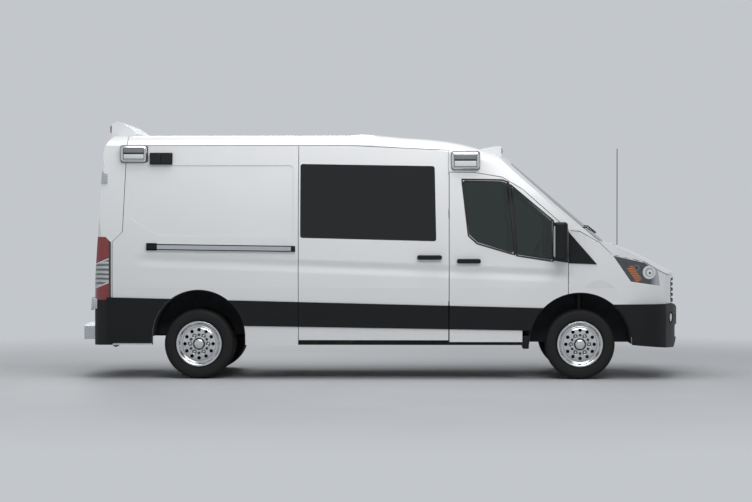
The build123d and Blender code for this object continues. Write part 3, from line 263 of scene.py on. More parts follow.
# The last strip of each pitch sinks into slots: deep ones on the shoulders, fine cuts between
slot_start = pitch * (PITCH_STEPS - 1) / PITCH_STEPS
for near, far, depth in SLOTS:
    pick_faces(
        lambda middle, normal: near < abs(middle.y) < far and middle.z > TREAD_FLOOR
        and normal.z ** 2 > 0.1 and abs(middle.x) > TREAD_R * sin(slot_start)
    )
    bpy.ops.mesh.extrude_region_move(TRANSFORM_OT_translate={"value": (0, 0, -depth)})
bpy.ops.mesh.select_all(action="SELECT")
bpy.ops.mesh.spin(
    steps=TREAD_PITCHES - 1, angle=pitch * (TREAD_PITCHES - 1), center=(0, 0, 0), axis=(0, 1, 0), dupli=True
)
close_piece(tyre, 25)
tyre.data.materials.append(tyre_rubber)
inner_twin = copy_piece(tyre, "inner_twin", (0, TWIN_SPACING, 0))
pair = join_pieces("tyres_rear_right", copy_piece(tyre, "outer_twin"), inner_twin)
for piece, node, body, centre in (
    (copy_piece(tyre, "tyre_front_left"), "front_tyre_left", "front_wheel_left", FRONT_AXLE),
    (copy_piece(pair, "tyres_rear_left", turned=True), "rear_tyres_left", "rear_wheel_left", REAR_AXLE),
    (tyre, "front_tyre_right", "front_wheel_right", FRONT_AXLE * RIGHT_SIDE),
    (pair, "rear_tyres_right", "rear_wheel_right", REAR_AXLE * RIGHT_SIDE),
):
    piece.data.transform(Matrix.Translation(centre))
    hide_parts(node)
    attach(piece, body)

# Wheels: pressed steel discs welded into rolled rims, enamelled and stoved, and bolted to the
# hubs.
wheel_paint, shader, place = new_finish("wheel_enamel", {"Metallic": 0.3, "IOR": 1.5})
# Dark grey stove enamel with brake dust in patches about 30 mm across
soot = noise(place, 33.0, 5.0)
tint(shader, soot, "#2A2B2D", "#1B1917")
vary_gloss(shader, soot, 0.35, 0.7)
dress(wheel_paint, "front_wheel_right", "front_wheel_left", "rear_wheels_right", "rear_wheels_left")

# Wheel covers: pressed stainless steel, polished bright, clipped over the enamelled wheels.
# Twelve hand holes and six lug wells are punched through, and a domed cap closes the hub.
COVER_STEPS = 96
COVER_SHEET = 0.0016
HAND_HOLES, HAND_HOLE_R, HAND_CIRCLE = 12, 0.0175, 0.139
LUGS, LUG_CIRCLE, LUG_WELL_R = 6, 0.090, 0.019
HUB_FACE, LUG_FACE = -0.085, -0.0892
HOLE_BAR, WELL_BAR = 0.06, 0.04
NUT_R, NUT_LENGTH, NUT_SET, NUT_SIDES = 0.0115, 0.034, 0.012, 6
# Columns: distance outboard of the tyre's middle, radius, in mm, from the lip in to the hub
COVER_LIP = ((84, 224.5), (90, 224.5), (94, 222), (95.5, 218), (95, 211), (91, 205), (83, 198))
COVER_DISC = (
    (78, 193), (70, 185), (66.5, 180), (66, 176), (68, 171), (74, 166), (79, 159), (82, 150), (85, 139),
    (87.5, 122), (88.8, 105), (89, 70), (89, 60), (87, 57), (86.5, 54), (88, 51.5), (95, 49.5), (103, 46),
    (108, 40), (111, 30), (112.5, 16), (113, 0.01),
)
# Columns: height over the lug's face, radius, in mm
COLLAR_LINE = ((0, 27), (3.5, 26.5), (6, 24.5), (6, 21.5), (4, 19.2), (-6, 18.8))
COLLAR_STEPS = 32

polished, shader, place = new_finish(
    "polished_stainless", {"Metallic": 1.0, "Base Color": linear("#D6D7D8")}
)
# Buffed mirror bright: faint swirl haze in patches about 40 mm across
haze = noise(place, 25.0, 6.0)
vary_gloss(shader, haze, 0.06, 0.2)


def lathe(name, points, steps, axis=(0, 1, 0)):
    """A sheet drawn as a section and spun a full turn about an axis through the origin."""
    piece = start_piece(name)
    draw_line(points)
    bpy.ops.mesh.spin(steps=steps, angle=2 * pi, center=(0, 0, 0), axis=axis)
    return close_piece(piece)


def apply_modifier(piece, kind, settings):
    """Adds a modifier, sets it and applies it."""
    modifier = piece.modifiers.new(kind.lower(), kind)
    for name, value in settings.items():
        setattr(modifier, name, value)
    make_active(piece)
    bpy.ops.object.modifier_apply(modifier=modifier.name)


def punch(piece, cutter):
    """Cuts a piece with a closed cutter and throws the cutter away."""
    apply_modifier(piece, "BOOLEAN", {"object": cutter, "operation": "DIFFERENCE", "solver": "EXACT"})
    bpy.data.objects.remove(cutter)


def ring_of(count, circle, start=0.0):
    """Places on a bolt circle about the wheel's axis, in the x-z plane."""
    turns = [start + 2 * pi * index / count for index in range(count)]
    return [(circle * sin(turn), circle * cos(turn)) for turn in turns]


def round_bar(name, radius, length, place, vertices=24, turn=(pi / 2, 0, 0)):
    """A bar primitive, along y unless turned, with its place in its mesh."""
    bpy.ops.object.select_all(action="DESELECT")
    bpy.ops.mesh.primitive_cylinder_add(
        vertices=vertices, radius=radius, depth=length, location=place, rotation=turn
    )
    bpy.ops.object.transform_apply(location=True, rotation=True, scale=True)
    piece = bpy.context.object
    piece.name = piece.data.name = name
    return piece


sheet = [(0, -out / 1000, radius / 1000) for out, radius in COVER_LIP + COVER_DISC]
cover = lathe("wheel_cover", sheet, COVER_STEPS)
apply_modifier(cover, "SOLIDIFY", {"thickness": COVER_SHEET, "offset": 0})
lug_places = ring_of(LUGS, LUG_CIRCLE, pi / 6)
hole_places = ring_of(HAND_HOLES, HAND_CIRCLE)
bars = [round_bar("hole", HAND_HOLE_R, HOLE_BAR, (x, HUB_FACE, z)) for x, z in hole_places]
bars += [round_bar("well", LUG_WELL_R, WELL_BAR, (x, HUB_FACE, z)) for x, z in lug_places]
punch(cover, join_pieces("punches", *bars))
bpy.ops.object.shade_smooth_by_angle(angle=radians(32))
cover.data.materials.append(polished)
# Each lug shows a bright collar round its well and the nut's crown inside it
collar = lathe("collar", [(0, -height / 1000, radius / 1000) for height, radius in COLLAR_LINE], COLLAR_STEPS)
nut = round_bar("nut", NUT_R, NUT_LENGTH, (0, NUT_SET, 0), NUT_SIDES)
apply_modifier(nut, "BEVEL", {"width": 0.002, "segments": 2, "affect": "EDGES"})
nut.data.materials.append(polished)
collar.data.materials.append(polished)
lug = join_pieces("lug", collar, nut)
cover = join_pieces("wheel_cover", cover, *(copy_piece(lug, "lug", (x, LUG_FACE, z)) for x, z in lug_places))
bpy.data.objects.remove(lug)
for body, centre in (
    ("front_wheel_right", FRONT_AXLE * RIGHT_SIDE), ("front_wheel_left", FRONT_AXLE),
    ("rear_wheel_right", REAR_AXLE * RIGHT_SIDE), ("rear_wheel_left", REAR_AXLE),
):
    piece = copy_piece(cover, f"{body}_cover", turned=centre.y > 0)
    piece.data.transform(Matrix.Translation(centre))
    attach(piece, body)
bpy.data.objects.remove(cover)

# Body panels: pressed steel welded and hung on the frame, sprayed white under a glossy clear
# coat. The tone and the gloss drift a little from panel to panel.
WAIST_Z, WAIST_FALL = 1.085, 0.0367
SCOOP_HALF, SCOOP_DEPTH = 0.075, 0.014
# Where the scoop has faded out and where it is whole, along the body
SCOOP_ENDS = ((-2.48, -2.2), (2.0, 1.7))


def compute(operation, first, *others):
    """A value worked out from a socket and others, each a socket or a number."""
    numbers = {index: value for index, value in enumerate(others, 1) if isinstance(value, float)}
    sockets = {index: value for index, value in enumerate((first, *others)) if index not in numbers}
    return add_node(first.id_data, "Math", {"operation": operation} | numbers, sockets).outputs[0]


def split_axes(place):
    """A place's coordinates, each under its axis."""
    return add_node(place.id_data, "SeparateXYZ", {}, {0: place}).outputs


white_paint, shader, place = new_finish(
    "white_coat_paint",
    {"IOR": 1.5, "Coat Weight": 1.0, "Coat Roughness": 0.1, "Coat IOR": 1.5, "Specular IOR Level": 0.4},
)
# Faint tone and gloss drift over 700 mm
drift = noise(place, 1.4, 3.0)
tint(shader, drift, "#E4E6E8", "#ECEDEE")
vary_gloss(shader, drift, 0.28, 0.4)
# The press leaves a scoop along the waist, which falls towards the front and fades out at
# the tail and over the front wheel
spot = split_axes(place)
level = compute("MULTIPLY_ADD", spot["X"], WAIST_FALL, spot["Z"])
off = compute("ABSOLUTE", compute("SUBTRACT", level, WAIST_Z))
scoop = remap(off, 0.0, SCOOP_HALF, -SCOOP_DEPTH, 0.0, "SMOOTHSTEP")
for start, end in SCOOP_ENDS:
    scoop = compute("MULTIPLY", scoop, remap(spot["X"], start, end, kind="SMOOTHSTEP"))
emboss(shader, scoop, 1.0, 1.0)
dress(
    white_paint, "side_panel_right", "side_panel_left", "sliding_door", "front_door_right", "front_door_left",
    "rear_door_right", "rear_door_left", "roof_panel", "cab_frame", "hood", "wing_right", "wing_left",
    "lamp_fairings",
)

# Side and rear panes: toughened glass with a black privacy tint, cut and bent to the panels
# and bonded flush in their openings.
privacy_glass, shader, place = new_finish(
    "privacy_glass", {"Base Color": linear("#07080A"), "IOR": 1.52, "Specular IOR Level": 0.5}
)
# Rain marks and dust, 80 mm across, only just dull the gloss
film = noise(place, 12.0, 6.0)
vary_gloss(shader, film, 0.02, 0.07)
dress(privacy_glass, "sliding_door_glass", "rear_door_glass_right", "rear_door_glass_left")

# Cab glass: laminated and lightly green. The windscreen is bonded to the frame, and the side
# panes drop into the doors. The same film dulls it less.
cab_glass, shader, place = new_finish(
    "cab_glass", {"Base Color": linear("#566462"), "IOR": 1.5, "Transmission Weight": 0.9}
)
film = noise(place, 12.0, 6.0)
vary_gloss(shader, film, 0.0, 0.03)
dress(cab_glass, "windscreen", "front_door_glass_right", "front_door_glass_left")

# Bands, bumper, mirrors and wing triangles: black polypropylene, moulded with a leather
# grain and clipped to the panels.
polypropylene, shader, place = new_finish(
    "grained_polypropylene", {"IOR": 1.49, "Specular IOR Level": 0.3}
)
# Wear in patches about 170 mm across
wear = noise(place, 6.0, 6.0)
tint(shader, wear, "#0A0B0C", "#131415")
vary_gloss(shader, wear, 0.42, 0.62)
# Grain cells 1.5 mm across are drawn at 5 mm so that they show
grain = add_node(place.id_data, "TexVoronoi", {"Scale": 200.0, "feature": "SMOOTH_F1"}, {"Vector": place})
emboss(shader, grain.outputs["Distance"], 0.25, 0.0008)
dress(
    polypropylene, "side_trim", "door_trim_right", "door_trim_left", "front_bumper", "mirror_right",
    "mirror_left", "grille", "antenna", "scene_lights", "dashboard", "steering_wheel",
)

# Tail corners: the rear frame is white above the waist and black below the tail lamps,
# sprayed with the same textured black as the bands.
BLACK_TOP = 0.79
two_tone, shader, place = new_finish(
    "two_tone_coat", {"IOR": 1.5, "Coat IOR": 1.5, "Specular IOR Level": 0.4}
)
upper = compute("GREATER_THAN", split_axes(place)["Z"], BLACK_TOP)
tint(shader, upper, "#0D0E0F", "#E8EAEB")
feed(shader, "Coat Weight", upper)
dull = remap(upper, 0.0, 1.0, 0.5, 0.3)
feed(shader, "Roughness", compute("MULTIPLY_ADD", noise(place, 6.0, 6.0), 0.15, dull))
dress(two_tone, "rear_frame")

# Tail lamps: injected polycarbonate in one tall moulding at each corner, red at the top and
# the foot with a clear slanted field between, fluted inside.
CLEAR_SLANT, CLEAR_TOP, CLEAR_FOOT = -0.4, 2.251, 2.018
WELD_HALF, FLANGE_X = 0.006, -2.668


def ridges(place, scale, direction, distortion=0.0):
    """Even waves along a direction."""
    settings = {"Scale": scale, "bands_direction": direction, "Distortion": distortion}
    return add_node(place.id_data, "TexWave", settings, {"Vector": place}).outputs["Fac"]


def lay_over(layer, mask, over):
    """A layer with a hex colour, or another layer, over it where a mask is one."""
    settings, links = {"data_type": "RGBA"}, {0: mask, 6: layer}
    if isinstance(over, str):
        settings[7] = linear(over)
    else:
        links[7] = over
    return add_node(layer.id_data, "Mix", settings, links).outputs[2]


lens_red, shader, place = new_finish(
    "tail_lamp_polycarbonate",
    {"IOR": 1.58, "Coat Weight": 1.0, "Coat Roughness": 0.03, "Specular IOR Level": 0.5},
)
spot = split_axes(place)
slant = compute("MULTIPLY_ADD", spot["X"], CLEAR_SLANT, spot["Z"])
above, below = compute("GREATER_THAN", slant, CLEAR_TOP), compute("LESS_THAN", slant, CLEAR_FOOT)
# Flutes 12 mm apart in the red, reflector steps 45 mm apart behind the clear field
flutes, steps = ridges(place, 26.0, "Z"), ridges(place, 7.0, "Z", 1.5)
deep, pale = blend(flutes, "#5A0408", "#A3090F"), blend(steps, "#4B5053", "#C9CED1")
layer = lay_over(pale, compute("MAXIMUM", above, below), deep)
# A pale weld line edges the clear field, and a black flange closes the lamp towards the panel
for edge in (CLEAR_TOP, CLEAR_FOOT):
    layer = lay_over(layer, compute("COMPARE", slant, edge, WELD_HALF), "#D8DADB")
layer = lay_over(layer, compute("GREATER_THAN", spot["X"], FLANGE_X), "#0B0B0C")
feed(shader, "Base Color", layer)
vary_gloss(shader, flutes, 0.1, 0.25)
emboss(shader, flutes, 0.25, 0.002)
dress(lens_red, "tail_lamps")

# Headlamps: clear polycarbonate over a dark housing, with a bright bowl for each beam, a
# projector in the front one and an amber turn field at the back.
# Columns: bowl centre along and up, radius, colour
BOWLS = (
    (2.648, 1.052, 0.066, "#DDE1E3"), (2.648, 1.052, 0.046, "#AEB5BA"), (2.655, 1.048, 0.030, "#E9ECEE"),
    (2.655, 1.044, 0.013, "#4A5157"), (2.52, 1.098, 0.030, "#59616A"), (2.52, 1.098, 0.017, "#1C2024"),
)
# Direction, middle and half length of the amber field, across it and down it
TURN_FIELD = (((0.816, 0.0, 0.579), 2.640, 0.031), ((0.579, 0.0, -0.816), 0.600, 0.085))
WALL_START, WALL_END = 2.66, 2.72


def vector_math(operation, vector, constant):
    """The outputs of an operation between a vector and a constant."""
    return add_node(vector.id_data, "VectorMath", {"operation": operation, 1: constant}, {0: vector}).outputs


lens_clear, shader, place = new_finish(
    "headlamp_polycarbonate", {"IOR": 1.58, "Coat Weight": 1.0, "Coat Roughness": 0.02}
)
housing = noise(place, 30.0, 3.0)
layer = blend(housing, "#14171A", "#43494F")
# The nose end of the lamp is a bright reflector wall
layer = lay_over(layer, remap(split_axes(place)["X"], WALL_START, WALL_END), "#A9B0B5")
side_view = vector_math("MULTIPLY", place, (1.0, 0.0, 1.0))[0]
for along, up, radius, tone in BOWLS:
    reach = vector_math("DISTANCE", side_view, (along, 0.0, up))["Value"]
    layer = lay_over(layer, compute("LESS_THAN", reach, radius), tone)
# The amber turn field is a slanted strip 60 mm wide, stepped down its length
strip, ends = (
    compute("COMPARE", vector_math("DOT_PRODUCT", place, direction)["Value"], middle, half)
    for direction, middle, half in TURN_FIELD
)
amber = blend(ridges(place, 14.0, "Z"), "#7A3210", "#C9712E")
feed(shader, "Base Color", lay_over(layer, compute("MULTIPLY", strip, ends), amber))
vary_gloss(shader, housing, 0.06, 0.2)
emboss(shader, ridges(place, 20.0, "X"), 0.3, 0.002)
dress(lens_clear, "headlamps")

# Side warning lamps: die-cast chromed bezels on rubber gaskets, screwed to the high side of
# the body. Each holds a smoked lens over a bright lower reflector.
BEZEL_RIM, BEZEL_DEPTH, BEZEL_SOFT = 0.006, 0.012, 0.03
GASKET_EDGE, GASKET_BACK = 0.006, 0.028
LENS_INSET, LENS_DEPTH, LENS_SPLIT = 0.026, 0.03, 0.52
PAN_EDGE = 0.007
# Columns: name, lower and upper corner of the right-hand lamp
SIDE_LAMPS = (
    ("rear_side_lamp", (-2.555, -0.982, 2.138), (-2.295, -0.905, 2.298)),
    ("front_side_lamp", (0.706, -0.982, 2.062), (0.980, -0.85, 2.238)),
)


def plain_block(name, low, high):
    """A block between two corners."""
    low, high = Vector(low), Vector(high)
    bpy.ops.object.select_all(action="DESELECT")
    bpy.ops.mesh.primitive_cube_add(size=1, location=(low + high) / 2, scale=high - low)
    bpy.ops.object.transform_apply(location=True, rotation=True, scale=True)
    piece = bpy.context.object
    piece.name = piece.data.name = name
    return piece


def block_piece(name, low, high, soft, segments, material=None):
    """A block between two corners with its edges rounded."""
    piece = plain_block(name, low, high)
    apply_modifier(piece, "BEVEL", {"width": soft, "segments": segments, "limit_method": "ANGLE"})
    bpy.ops.object.shade_smooth_by_angle(angle=radians(30))
    if material:
        piece.data.materials.append(material)
    return piece


def dish_out(piece, rim, depth, out=(0, -1, 0)):
    """Insets a block's face on one side by a rim and sinks the inside."""
    out = Vector(out)
    make_active(piece)
    bpy.ops.object.mode_set(mode="EDIT")
    pick_faces(lambda middle, normal: normal.dot(out) > 0.99)
    bpy.ops.mesh.inset(thickness=rim, depth=0)
    bpy.ops.mesh.extrude_region_move(TRANSFORM_OT_translate={"value": -out * depth})
    bpy.ops.mesh.select_all(action="SELECT")
    bpy.ops.mesh.normals_make_consistent(inside=False)
    bpy.ops.object.mode_set(mode="OBJECT")
    bpy.ops.object.shade_smooth_by_angle(angle=radians(30))


def other_side(piece, name):
    """The left-hand twin of a right-hand piece."""
    twin = copy_piece(piece, name)
    twin.data.transform(Matrix.Scale(-1, 4, (0, 1, 0)))
    twin.data.flip_normals()
    return twin


chrome, shader, place = new_finish("chromed_zinc", {"Metallic": 1.0, "Base Color": linear("#DCDEE0")})
haze = noise(place, 30.0, 5.0)
vary_gloss(shader, haze, 0.04, 0.14)
gasket, shader, place = new_finish("gasket_rubber", {"Base Color": linear("#121314"), "IOR": 1.52})
grain = noise(place, 60.0, 4.0)
vary_gloss(shader, grain, 0.5, 0.75)


def prism_lens(name, direction, dark, pale, low, high):
    """Moulded polycarbonate with prisms 9 mm apart inside it."""
    lens, shader, place = new_finish(name, {"IOR": 1.58, "Coat Weight": 1.0, "Coat Roughness": 0.03})
    prisms = ridges(place, 35.0, direction)
    tint(shader, prisms, dark, pale)
    vary_gloss(shader, prisms, low, high)
    return lens


lens_smoke = prism_lens("smoked_polycarbonate", "X", "#5E6265", "#8E9295", 0.12, 0.3)
lens_bright = prism_lens("clear_polycarbonate", "X", "#C8CCCF", "#EEF0F1", 0.1, 0.25)

for name, low, high in SIDE_LAMPS:
    (x0, face, z0), (x1, back, z1) = low, high
    split = z0 + LENS_SPLIT * (z1 - z0)
    left, right, foot, top = x0 + LENS_INSET, x1 - LENS_INSET, z0 + LENS_INSET, z1 - LENS_INSET
    inside = face + LENS_DEPTH
    # Columns: part, lower and upper corner, rounding, its steps, material
    parts = [block_piece(*row) for row in (
        ("gasket", (x0 - GASKET_EDGE, face + GASKET_BACK, z0 - GASKET_EDGE),
         (x1 + GASKET_EDGE, back, z1 + GASKET_EDGE), BEZEL_SOFT, 5, gasket),
        ("bezel", low, (x1, back - 0.01, z1), BEZEL_SOFT, 5, chrome),
        ("lower", (left, face - 0.001, foot), (right, inside, split - 0.003), 0.008, 3, lens_bright),
        ("upper", (left, face - 0.001, split + 0.003), (right, inside, top), 0.008, 3, lens_smoke),
        ("bar", (left, face + 0.002, split - 0.005), (right, inside, split + 0.005), 0.001, 1, gasket),
        ("pan", (left - PAN_EDGE, face - 0.0002, foot - PAN_EDGE),
         (right + PAN_EDGE, face + 0.02, top + PAN_EDGE), 0.01, 3, gasket),
    )]
    dish_out(parts[1], BEZEL_RIM, BEZEL_DEPTH)
    lamp = join_pieces(f"{name}_right", *parts)
    for piece in (lamp, other_side(lamp, f"{name}_left")):
        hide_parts("warning_lamps")
        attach(piece, "body")

# Roof lamps: three clear bars across the front pod and three red ones across the rear, each a
# moulded lens on a black base, screwed through the fairing.
lens_signal = prism_lens("signal_red_polycarbonate", "Y", "#7C0B10", "#B3171D", 0.1, 0.25)
ROOF_LENS_SIDE, ROOF_LENS_EDGE = 0.010, 0.007
# Columns: name, base's back and front x, lens's front x, half width, spacing, lower and upper edge, lens
ROOF_LAMPS = (
    ("front_roof_lamp", 1.204, 1.214, 1.223, 0.155, 0.350, 2.230, 2.286, lens_bright),
    ("rear_roof_lamp", -2.688, -2.703, -2.712, 0.170, 0.390, 2.430, 2.514, lens_signal),
)
for name, back, front, face, half, spacing, lower, upper, lens in ROOF_LAMPS:
    for index, y in enumerate((-spacing, 0.0, spacing)):
        base_ends, lens_ends = sorted((back, front)), sorted((back, face))
        base = block_piece(
            "base", (base_ends[0], y - half, lower), (base_ends[1], y + half, upper), 0.004, 2, gasket
        )
        shell = block_piece(
            "shell", (lens_ends[0], y - half + ROOF_LENS_SIDE, lower + ROOF_LENS_EDGE),
            (lens_ends[1], y + half - ROOF_LENS_SIDE, upper - ROOF_LENS_EDGE), 0.005, 3, lens,
        )
        lamp = join_pieces(f"{name}_{index + 1}", base, shell)
        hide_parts("warning_lamps")
        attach(lamp, "body")

# Scene lights: a black die-cast housing high on each rear side, with two dished panes of dark
# glass clipped flush into it.
PANES = ((-2.262, -2.161), (-2.153, -2.052))
PANE_OUT, PANE_IN, PANE_FOOT, PANE_TOP = -0.967, -0.955, 2.119, 2.221
for index, (start, end) in enumerate(PANES, 1):
    low, high = (start, PANE_OUT, PANE_FOOT), (end, PANE_IN, PANE_TOP)
    pane = block_piece(f"scene_light_pane_right_{index}", low, high, 0.004, 2, privacy_glass)
    dish_out(pane, 0.014, 0.004)
    for piece in (pane, other_side(pane, f"scene_light_pane_left_{index}")):
        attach(piece, "body")

# Slide rail: an anodised aluminium channel bolted along the quarter panel, with a dark track
# above and below its bright web and a moulded stop at each end.
RAIL_FALL, RAIL_MIDDLE = -0.0137, -1.56
RAIL_OUT, RAIL_IN = -1.0375, -1.026
anodised, shader, place = new_finish(
    "anodised_aluminium", {"Metallic": 1.0, "Base Color": linear("#C9CCCF")}
)
# Extrusion lines run along the rail
drawn = add_node(place.id_data, "Mapping", {"Scale": (2.0, 60.0, 260.0)}, {"Vector": place})
vary_gloss(shader, noise(drawn.outputs[0], 1.0, 4.0), 0.18, 0.38)
dress(anodised, "slide_rail")


def along_rail(name, start, end, low, high, soft, material):
    """A run on the rail's face that follows its fall towards the front."""
    run = block_piece(name, (start, RAIL_OUT, low), (end, RAIL_IN, high), soft, 2, material)
    for vertex in run.data.vertices:
        vertex.co.z += RAIL_FALL * (vertex.co.x - RAIL_MIDDLE)
    return run


rail_tracks = join_pieces(
    "slide_rail_tracks",
    along_rail("track", -2.285, -0.835, 1.312, 1.322, 0.002, gasket),
    along_rail("track", -2.285, -0.835, 1.262, 1.272, 0.002, gasket),
    along_rail("stop", -2.296, -2.188, 1.255, 1.330, 0.006, polypropylene),
    along_rail("stop", -0.872, -0.828, 1.262, 1.320, 0.005, polypropylene),
)
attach(rail_tracks, "body")

# Tail step: rolled tread plate in bright aluminium, folded into a box and bolted to the frame
# under the rear doors. Boots have scuffed it in patches.
tread_plate, shader, place = new_finish("tread_plate", {"Metallic": 1.0, "Base Color": linear("#C4C7CA")})
scuff = noise(place, 20.0, 6.0)
vary_gloss(shader, scuff, 0.15, 0.4)
# Raised bars about 25 mm apart, crossing at right angles
waves = []
for turn in (pi / 4, -pi / 4):
    turned = add_node(place.id_data, "Mapping", {"Rotation": (0.0, 0.0, turn)}, {"Vector": place})
    waves.append(ridges(turned.outputs[0], 12.0, "X"))
emboss(shader, compute("MULTIPLY", *waves), 0.6, 0.003)
dress(tread_plate, "tail_step")

# Mirror glass: a silvered plate with a shallow rim, clipped into the back of each mirror
# shell, so it rides on the door.
silvering, shader, place = new_finish("silvered_glass", {"Metallic": 1.0, "Base Color": linear("#CDD1D3")})
film = noise(place, 15.0, 5.0)
vary_gloss(shader, film, 0.01, 0.06)
glass = block_piece(
    "mirror_glass_right", (1.700, -1.216, 1.205), (1.712, -1.083, 1.505), 0.004, 2, silvering
)
dish_out(glass, 0.008, 0.002, (-1, 0, 0))
for piece, body in ((glass, "front_door_right"), (other_side(glass, "mirror_glass_left"), "front_door_left")):
    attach(piece, body)

# Rear hinges: two cast and anodised barrels a side, on the leaning axis of the rear door. Each
# has a leaf that wraps the corner post and is bolted to it.
TAIL_TILT, HINGE_ANGLE = 0.0820, 0.0818
HINGE_X, HINGE_Y, HINGE_Z = -2.835, -0.912, 0.8
HINGE_HEIGHTS = (0.74, 1.98)
BARREL_R, BARREL_LENGTH = 0.013, 0.13
LEAF_BACK, LEAF_FRONT, LEAF_OUT, LEAF_IN, LEAF_HALF = 0.007, 0.055, -0.978, -0.922, 0.05
parts = []
for height in HINGE_HEIGHTS:
    x = HINGE_X + TAIL_TILT * (height - HINGE_Z)
    barrel = round_bar("barrel", BARREL_R, BARREL_LENGTH, (x, HINGE_Y, height), 24, (0, HINGE_ANGLE, 0))
    apply_modifier(barrel, "BEVEL", {"width": 0.003, "segments": 2, "limit_method": "ANGLE"})
    low = (x + LEAF_BACK, LEAF_OUT, height - LEAF_HALF)
    high = (x + LEAF_FRONT, LEAF_IN, height + LEAF_HALF)
    parts += [barrel, block_piece("leaf", low, high, 0.005, 3)]
hinge = join_pieces("rear_hinges_right", *parts)
hinge.data.materials.append(anodised)
for hinge in (hinge, other_side(hinge, "rear_hinges_left")):
    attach(hinge, "body")

# Rear door pull: a black polypropylene moulding with a cup for the hand, screwed through the
# inner edge of the left door.
pull = block_piece("rear_door_pull", (-2.832, 0.03, 1.02), (-2.80, 0.10, 1.24), 0.012, 4, polypropylene)
dish_out(pull, 0.012, 0.010, (-1, 0, 0))
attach(pull, "rear_door_left")

# Number plate: pressed aluminium with a raised rim, enamelled off-white and left bare, riveted
# to the right door.
plate_paint, shader, place = new_finish("plate_enamel", {"IOR": 1.5, "Coat Weight": 0.5})
film = noise(place, 10.0, 5.0)
tint(shader, film, "#D8D9D6", "#E6E7E4")
plate = block_piece("bare_plate", (-2.830, -0.60, 0.70), (-2.816, -0.29, 0.86), 0.003, 2, plate_paint)
dish_out(plate, 0.006, 0.002, (-1, 0, 0))
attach(plate, "rear_door_right")

# Cab seats: moulded foam under woven cloth, sewn in three panels on a boxed steel base. Each
# has a crowned cushion, a bolstered back and a separate head pad.
SEAM_DEPTH, SEAM_HALF, UNDERSIDE = 0.009, 0.07, -0.2
BACK_LEAN, RECLINER = radians(-14.9), (0.90, 0, 1.10)
SEAMS = (-0.5, 0.5)
seat_cloth, shader, place = new_finish("woven_seat_cloth", {"Sheen Weight": 0.4, "Sheen Roughness": 0.5})
# Yarns 1.2 mm apart are drawn 4 mm apart so that they show
weave = compute("MULTIPLY", ridges(place, 80.0, "Y"), ridges(place, 80.0, "DIAGONAL"))
tint(shader, weave, "#26282B", "#3A3D41")
vary_gloss(shader, weave, 0.75, 0.95)
emboss(shader, weave, 0.3, 0.001)


def cushion(name, low, high, crown_axis, crown, seams=()):
    """A pad: a divided block, smoothed, swollen along one axis and drawn in at its sewn seams."""
    pad = plain_block(name, low, high)
    bpy.ops.object.mode_set(mode="EDIT")
    bpy.ops.mesh.select_all(action="SELECT")
    bpy.ops.mesh.subdivide(number_cuts=3)
    bpy.ops.object.mode_set(mode="OBJECT")
    apply_modifier(pad, "SUBSURF", {"levels": 3, "render_levels": 3})
    middle, half = (Vector(low) + Vector(high)) / 2, (Vector(high) - Vector(low)) / 2
    across = [axis for axis in range(3) if axis != crown_axis]
    for vertex in pad.data.vertices:
        unit = [(vertex.co[axis] - middle[axis]) / half[axis] for axis in range(3)]
        swell = crown * max(0.0, 1 - unit[across[0]] ** 2) * max(0.0, 1 - unit[across[1]] ** 2)
        for seam in seams:
            swell -= SEAM_DEPTH * max(0.0, 1 - abs(unit[1] - seam) / SEAM_HALF)
        vertex.co[crown_axis] += swell * (1 if unit[crown_axis] > 0 else UNDERSIDE)
    bpy.ops.object.shade_smooth()
    pad.data.materials.append(seat_cloth)
    return pad


for side, y in (("right", -0.43), ("left", 0.43)):
    seat = cushion(
        f"seat_cushion_{side}", (0.86, y - 0.245, 0.955), (1.375, y + 0.245, 1.115), 2, 0.028, SEAMS
    )
    back = cushion(f"seat_back_{side}", (0.80, y - 0.24, 1.10), (0.905, y + 0.24, 1.56), 0, 0.022, SEAMS)
    head = cushion(f"head_pad_{side}", (0.815, y - 0.14, 1.575), (0.895, y + 0.14, 1.715), 0, 0.012)
    for pad in (back, head):
        hinge = Matrix.Translation(RECLINER)
        pad.data.transform(hinge @ Matrix.Rotation(BACK_LEAN, 4, "Y") @ hinge.inverted())
    plinth = block_piece(
        f"seat_base_{side}", (0.83, y - 0.235, 0.702), (1.30, y + 0.235, 0.965), 0.02, 4, polypropylene
    )
    dish_out(plinth, 0.03, 0.01)
    for piece in (seat, back, head, plinth):
        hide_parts("seats")
        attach(piece, "body")

# Wipers: stamped steel arms with rubber blades, pivoted at the cowl and laid along the foot
# of the windscreen. Their places are read off the glass below them.
WIPER_CLEAR = 0.012
GLASS_BOW = 0.17
BLADE_X, FOOT_X, ELBOW_X = 2.09, 2.165, 2.105
BLADE_STEPS = 6


def tree_of(node):
    """A search tree of a CAD node's faces."""
    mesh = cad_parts[node].data
    return BVHTree.FromPolygons([v.co for v in mesh.vertices], [p.vertices for p in mesh.polygons])


glass_tree = tree_of("windscreen")


def on_glass(x, y):
    """The point of the windscreen's bowed face above a place, a little clear of the glass."""
    spot = glass_tree.ray_cast(Vector((x - GLASS_BOW * y ** 2, y, 3.0)), Vector((0, 0, -1)))[0]
    return spot + Vector((WIPER_CLEAR * 0.65, 0, WIPER_CLEAR * 0.76))


